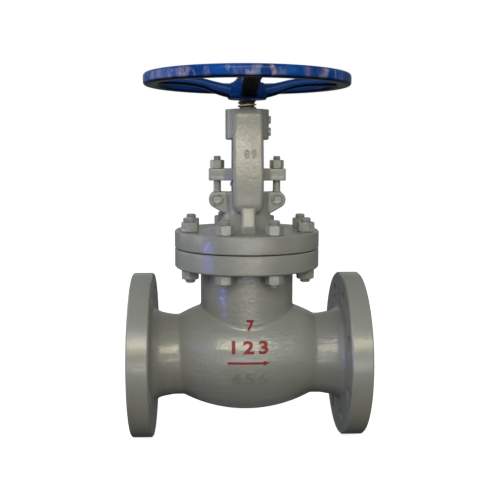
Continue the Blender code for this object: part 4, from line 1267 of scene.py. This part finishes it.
def make_handwheel():
    hub_top = WASHER_LOW_Z - GAP
    hub = [
        (0, hub_top + 0.002), (0.0190, hub_top + 0.002), (0.0198, 0.4185, 0.003),
        (0.0262, 0.4172, 0.003), (0.0275, 0.4080, 0.008), (0.0310, 0.3985, 0.006),
        (0.0275, HUB_LOW_Z - 0.002), (0, HUB_LOW_Z - 0.002),
    ]
    parts = [rim(), lathed("hub", hub), *[spoke(i) for i in range(SPOKES)]]
    wheel = melted("handwheel_casting", parts, FINE_VOXEL, 6)
    above = cylinder("hub_top_face", 0.024, hub_top, hub_top + 0.02)
    below = cylinder("hub_low_face", 0.06, HUB_LOW_Z - 0.02, HUB_LOW_Z)
    half = SQUARE_HALF_WIDTH + GAP
    square = block("hub_square", (-half, -half, HUB_LOW_Z - 0.005), (half, half, hub_top + 0.005))
    cut(wheel, above, below, square)
    finish(wheel, ["handwheel"], "blue", "stem_and_handwheel", sharp=40)


def make_wheel_fastening():
    body = "stem_and_handwheel"
    ring_piece("wheel_plain_washer", "wheel_washer", 0.017, 0.0093, 0.0004, "dark", body)
    low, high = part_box("wheel_nut")
    piece = nut("handwheel_nut", 0.027, low.z, high.z, 0.0093)
    finish(piece, ["wheel_nut"], "dark", body)


# Stage ------------------------


def aimed_camera():
    camera = bpy.data.cameras.new("camera")
    camera.sensor_width = 36
    camera.lens = 54.0
    camera.clip_start = 0.05
    obj = placed("camera", camera)
    place, yaw, pitch, roll = (-0.0573, -1.1521, 0.3119), 0.054, -0.128, 0.003
    forward = Vector((sin(yaw) * cos(pitch), cos(yaw) * cos(pitch), sin(pitch)))
    level = Vector((cos(yaw), -sin(yaw), 0))
    rise = level.cross(forward)
    right = level * cos(roll) + rise * sin(roll)
    up = rise * cos(roll) - level * sin(roll)
    axes = Matrix((right, up, -forward)).transposed().to_4x4()
    obj.matrix_world = Matrix.Translation(place) @ axes
    bpy.context.scene.camera = obj


def soft_light(name, place, target, size, power, colour=(1, 1, 1), only_gloss=False):
    light = bpy.data.lights.new(name, "AREA")
    light.shape = "RECTANGLE"
    light.size, light.size_y = size
    light.energy = power
    light.color = colour
    obj = placed(name, light)
    aim = Vector(target) - Vector(place)
    obj.matrix_world = Matrix.Translation(place) @ aim.to_track_quat("-Z", "Y").to_matrix().to_4x4()
    obj.visible_camera = False
    obj.visible_diffuse = not only_gloss


def make_floor():
    """A pale floor that the camera sees and that puts no light or shadow on the valve."""
    floor = cylinder("floor", 6.0, -0.02, 0, 96)
    floor.location.z = FLOOR_Z
    look = Look("pale_floor", (0.80, 0.80, 0.80), 0.8)
    look.set("Specular IOR Level", 0.1)
    look.set("Emission Color", (1, 1, 1, 1))
    look.set("Emission Strength", 0.85)
    floor.data.materials.append(look.material)
    floor.visible_diffuse = False
    floor.visible_glossy = False
    floor.visible_shadow = False


def make_room():
    """White where the camera sees it, and a dim glow that grows with height for all other rays."""
    world = bpy.data.worlds.new("world")
    bpy.context.scene.world = world
    world.use_nodes = True
    tree = world.node_tree
    seen = tree.nodes["Background"]
    seen.inputs["Color"].default_value = (1, 1, 1, 1)
    place = add_node(tree, "ShaderNodeTexCoord").outputs["Generated"]
    height = add_node(tree, "ShaderNodeSeparateXYZ", {0: place}).outputs["Z"]
    glow = add_node(tree, "ShaderNodeMapRange", {0: height, 1: -0.6, 2: 0.7, 3: 0.02, 4: 0.35})
    tint = {"Color": (0.9, 1.0, 1.0, 1), "Strength": glow.outputs[0]}
    room = add_node(tree, "ShaderNodeBackground", tint)
    direct = add_node(tree, "ShaderNodeLightPath").outputs["Is Camera Ray"]
    mix = add_node(tree, "ShaderNodeMixShader", {0: direct, 1: room.outputs[0], 2: seen.outputs[0]})
    tree.links.new(mix.outputs[0], tree.nodes["World Output"].inputs[0])


def make_lights():
    middle = (0, 0, 0.12)
    soft_light("key", (0, -2.6, 1.22), middle, (2.6, 0.75), 25, (1.0, 0.92, 0.55))
    soft_light("slit", (0, -2.6, 1.28), middle, (2.6, 0.2), 20, (1.0, 0.93, 0.78), only_gloss=True)
    soft_light("wide_front", (0.1, -2.9, -0.1), (0, 0, 0.05), (4.6, 0.3), 11)
    soft_light("low_front", (0.1, -2.9, -0.22), (0, 0, 0.1), (1.8, 0.4), 8, only_gloss=True)
    soft_light("near_front", (-0.25, -1.15, 0.80), (0, 0, 0.2), (0.7, 0.3), 2.4, (0.9, 0.86, 1.0))
    soft_light("front_left", (-1.9, -2.3, 0.9), middle, (1.0, 1.0), 5.5, (0.45, 0.58, 1.0))
    soft_light("left", (-2.8, -0.4, 0.6), middle, (0.8, 1.4), 13, (0.85, 0.85, 1.0))
    soft_light("left_rear", (-2.0, 1.0, 0.7), middle, (1.0, 1.4), 7.6)
    blue = (0.15, 0.17, 1.0)
    soft_light("left_strip", (-1.171, -0.546, -0.005), (0, 0, 0.15), (0.05, 0.105), 1.3, blue, True)
    soft_light("low_strip", (-1.10, -0.66, -0.085), (0, 0, 0.1), (0.05, 0.08), 1.1, blue, True)
    soft_light("under", (0, -0.03, -0.122), (0, -0.02, 0), (0.2, 0.12), 0.008)
    soft_light("right_front", (1.8, -2.2, 0.9), middle, (1.0, 1.0), 5.5, (0.95, 1.0, 0.82))
    soft_light("right", (2.6, -0.3, 0.5), middle, (0.8, 1.4), 2.0)
    soft_light("behind", (0, 3.0, 0.85), middle, (3.0, 0.5), 1.8, only_gloss=True)
    bpy.context.scene.view_settings.view_transform = "Standard"


def main():
    aimed_camera()
    make_floor()
    make_room()
    make_lights()
    make_body()
    make_marks()
    make_bonnet()
    make_yoke_number()
    make_boss_number()
    make_bonnet_bolting()
    for side, word in ((-1, "left"), (1, "right")):
        make_eyebolt(side, word)
    make_packing()
    make_gland()
    make_gland_flange()
    make_stem()
    make_yoke_nut()
    make_seat_ring()
    make_disc()
    make_thrust_pad()
    make_disc_nut()
    make_backseat()
    make_handwheel()
    make_wheel_fastening()


main()
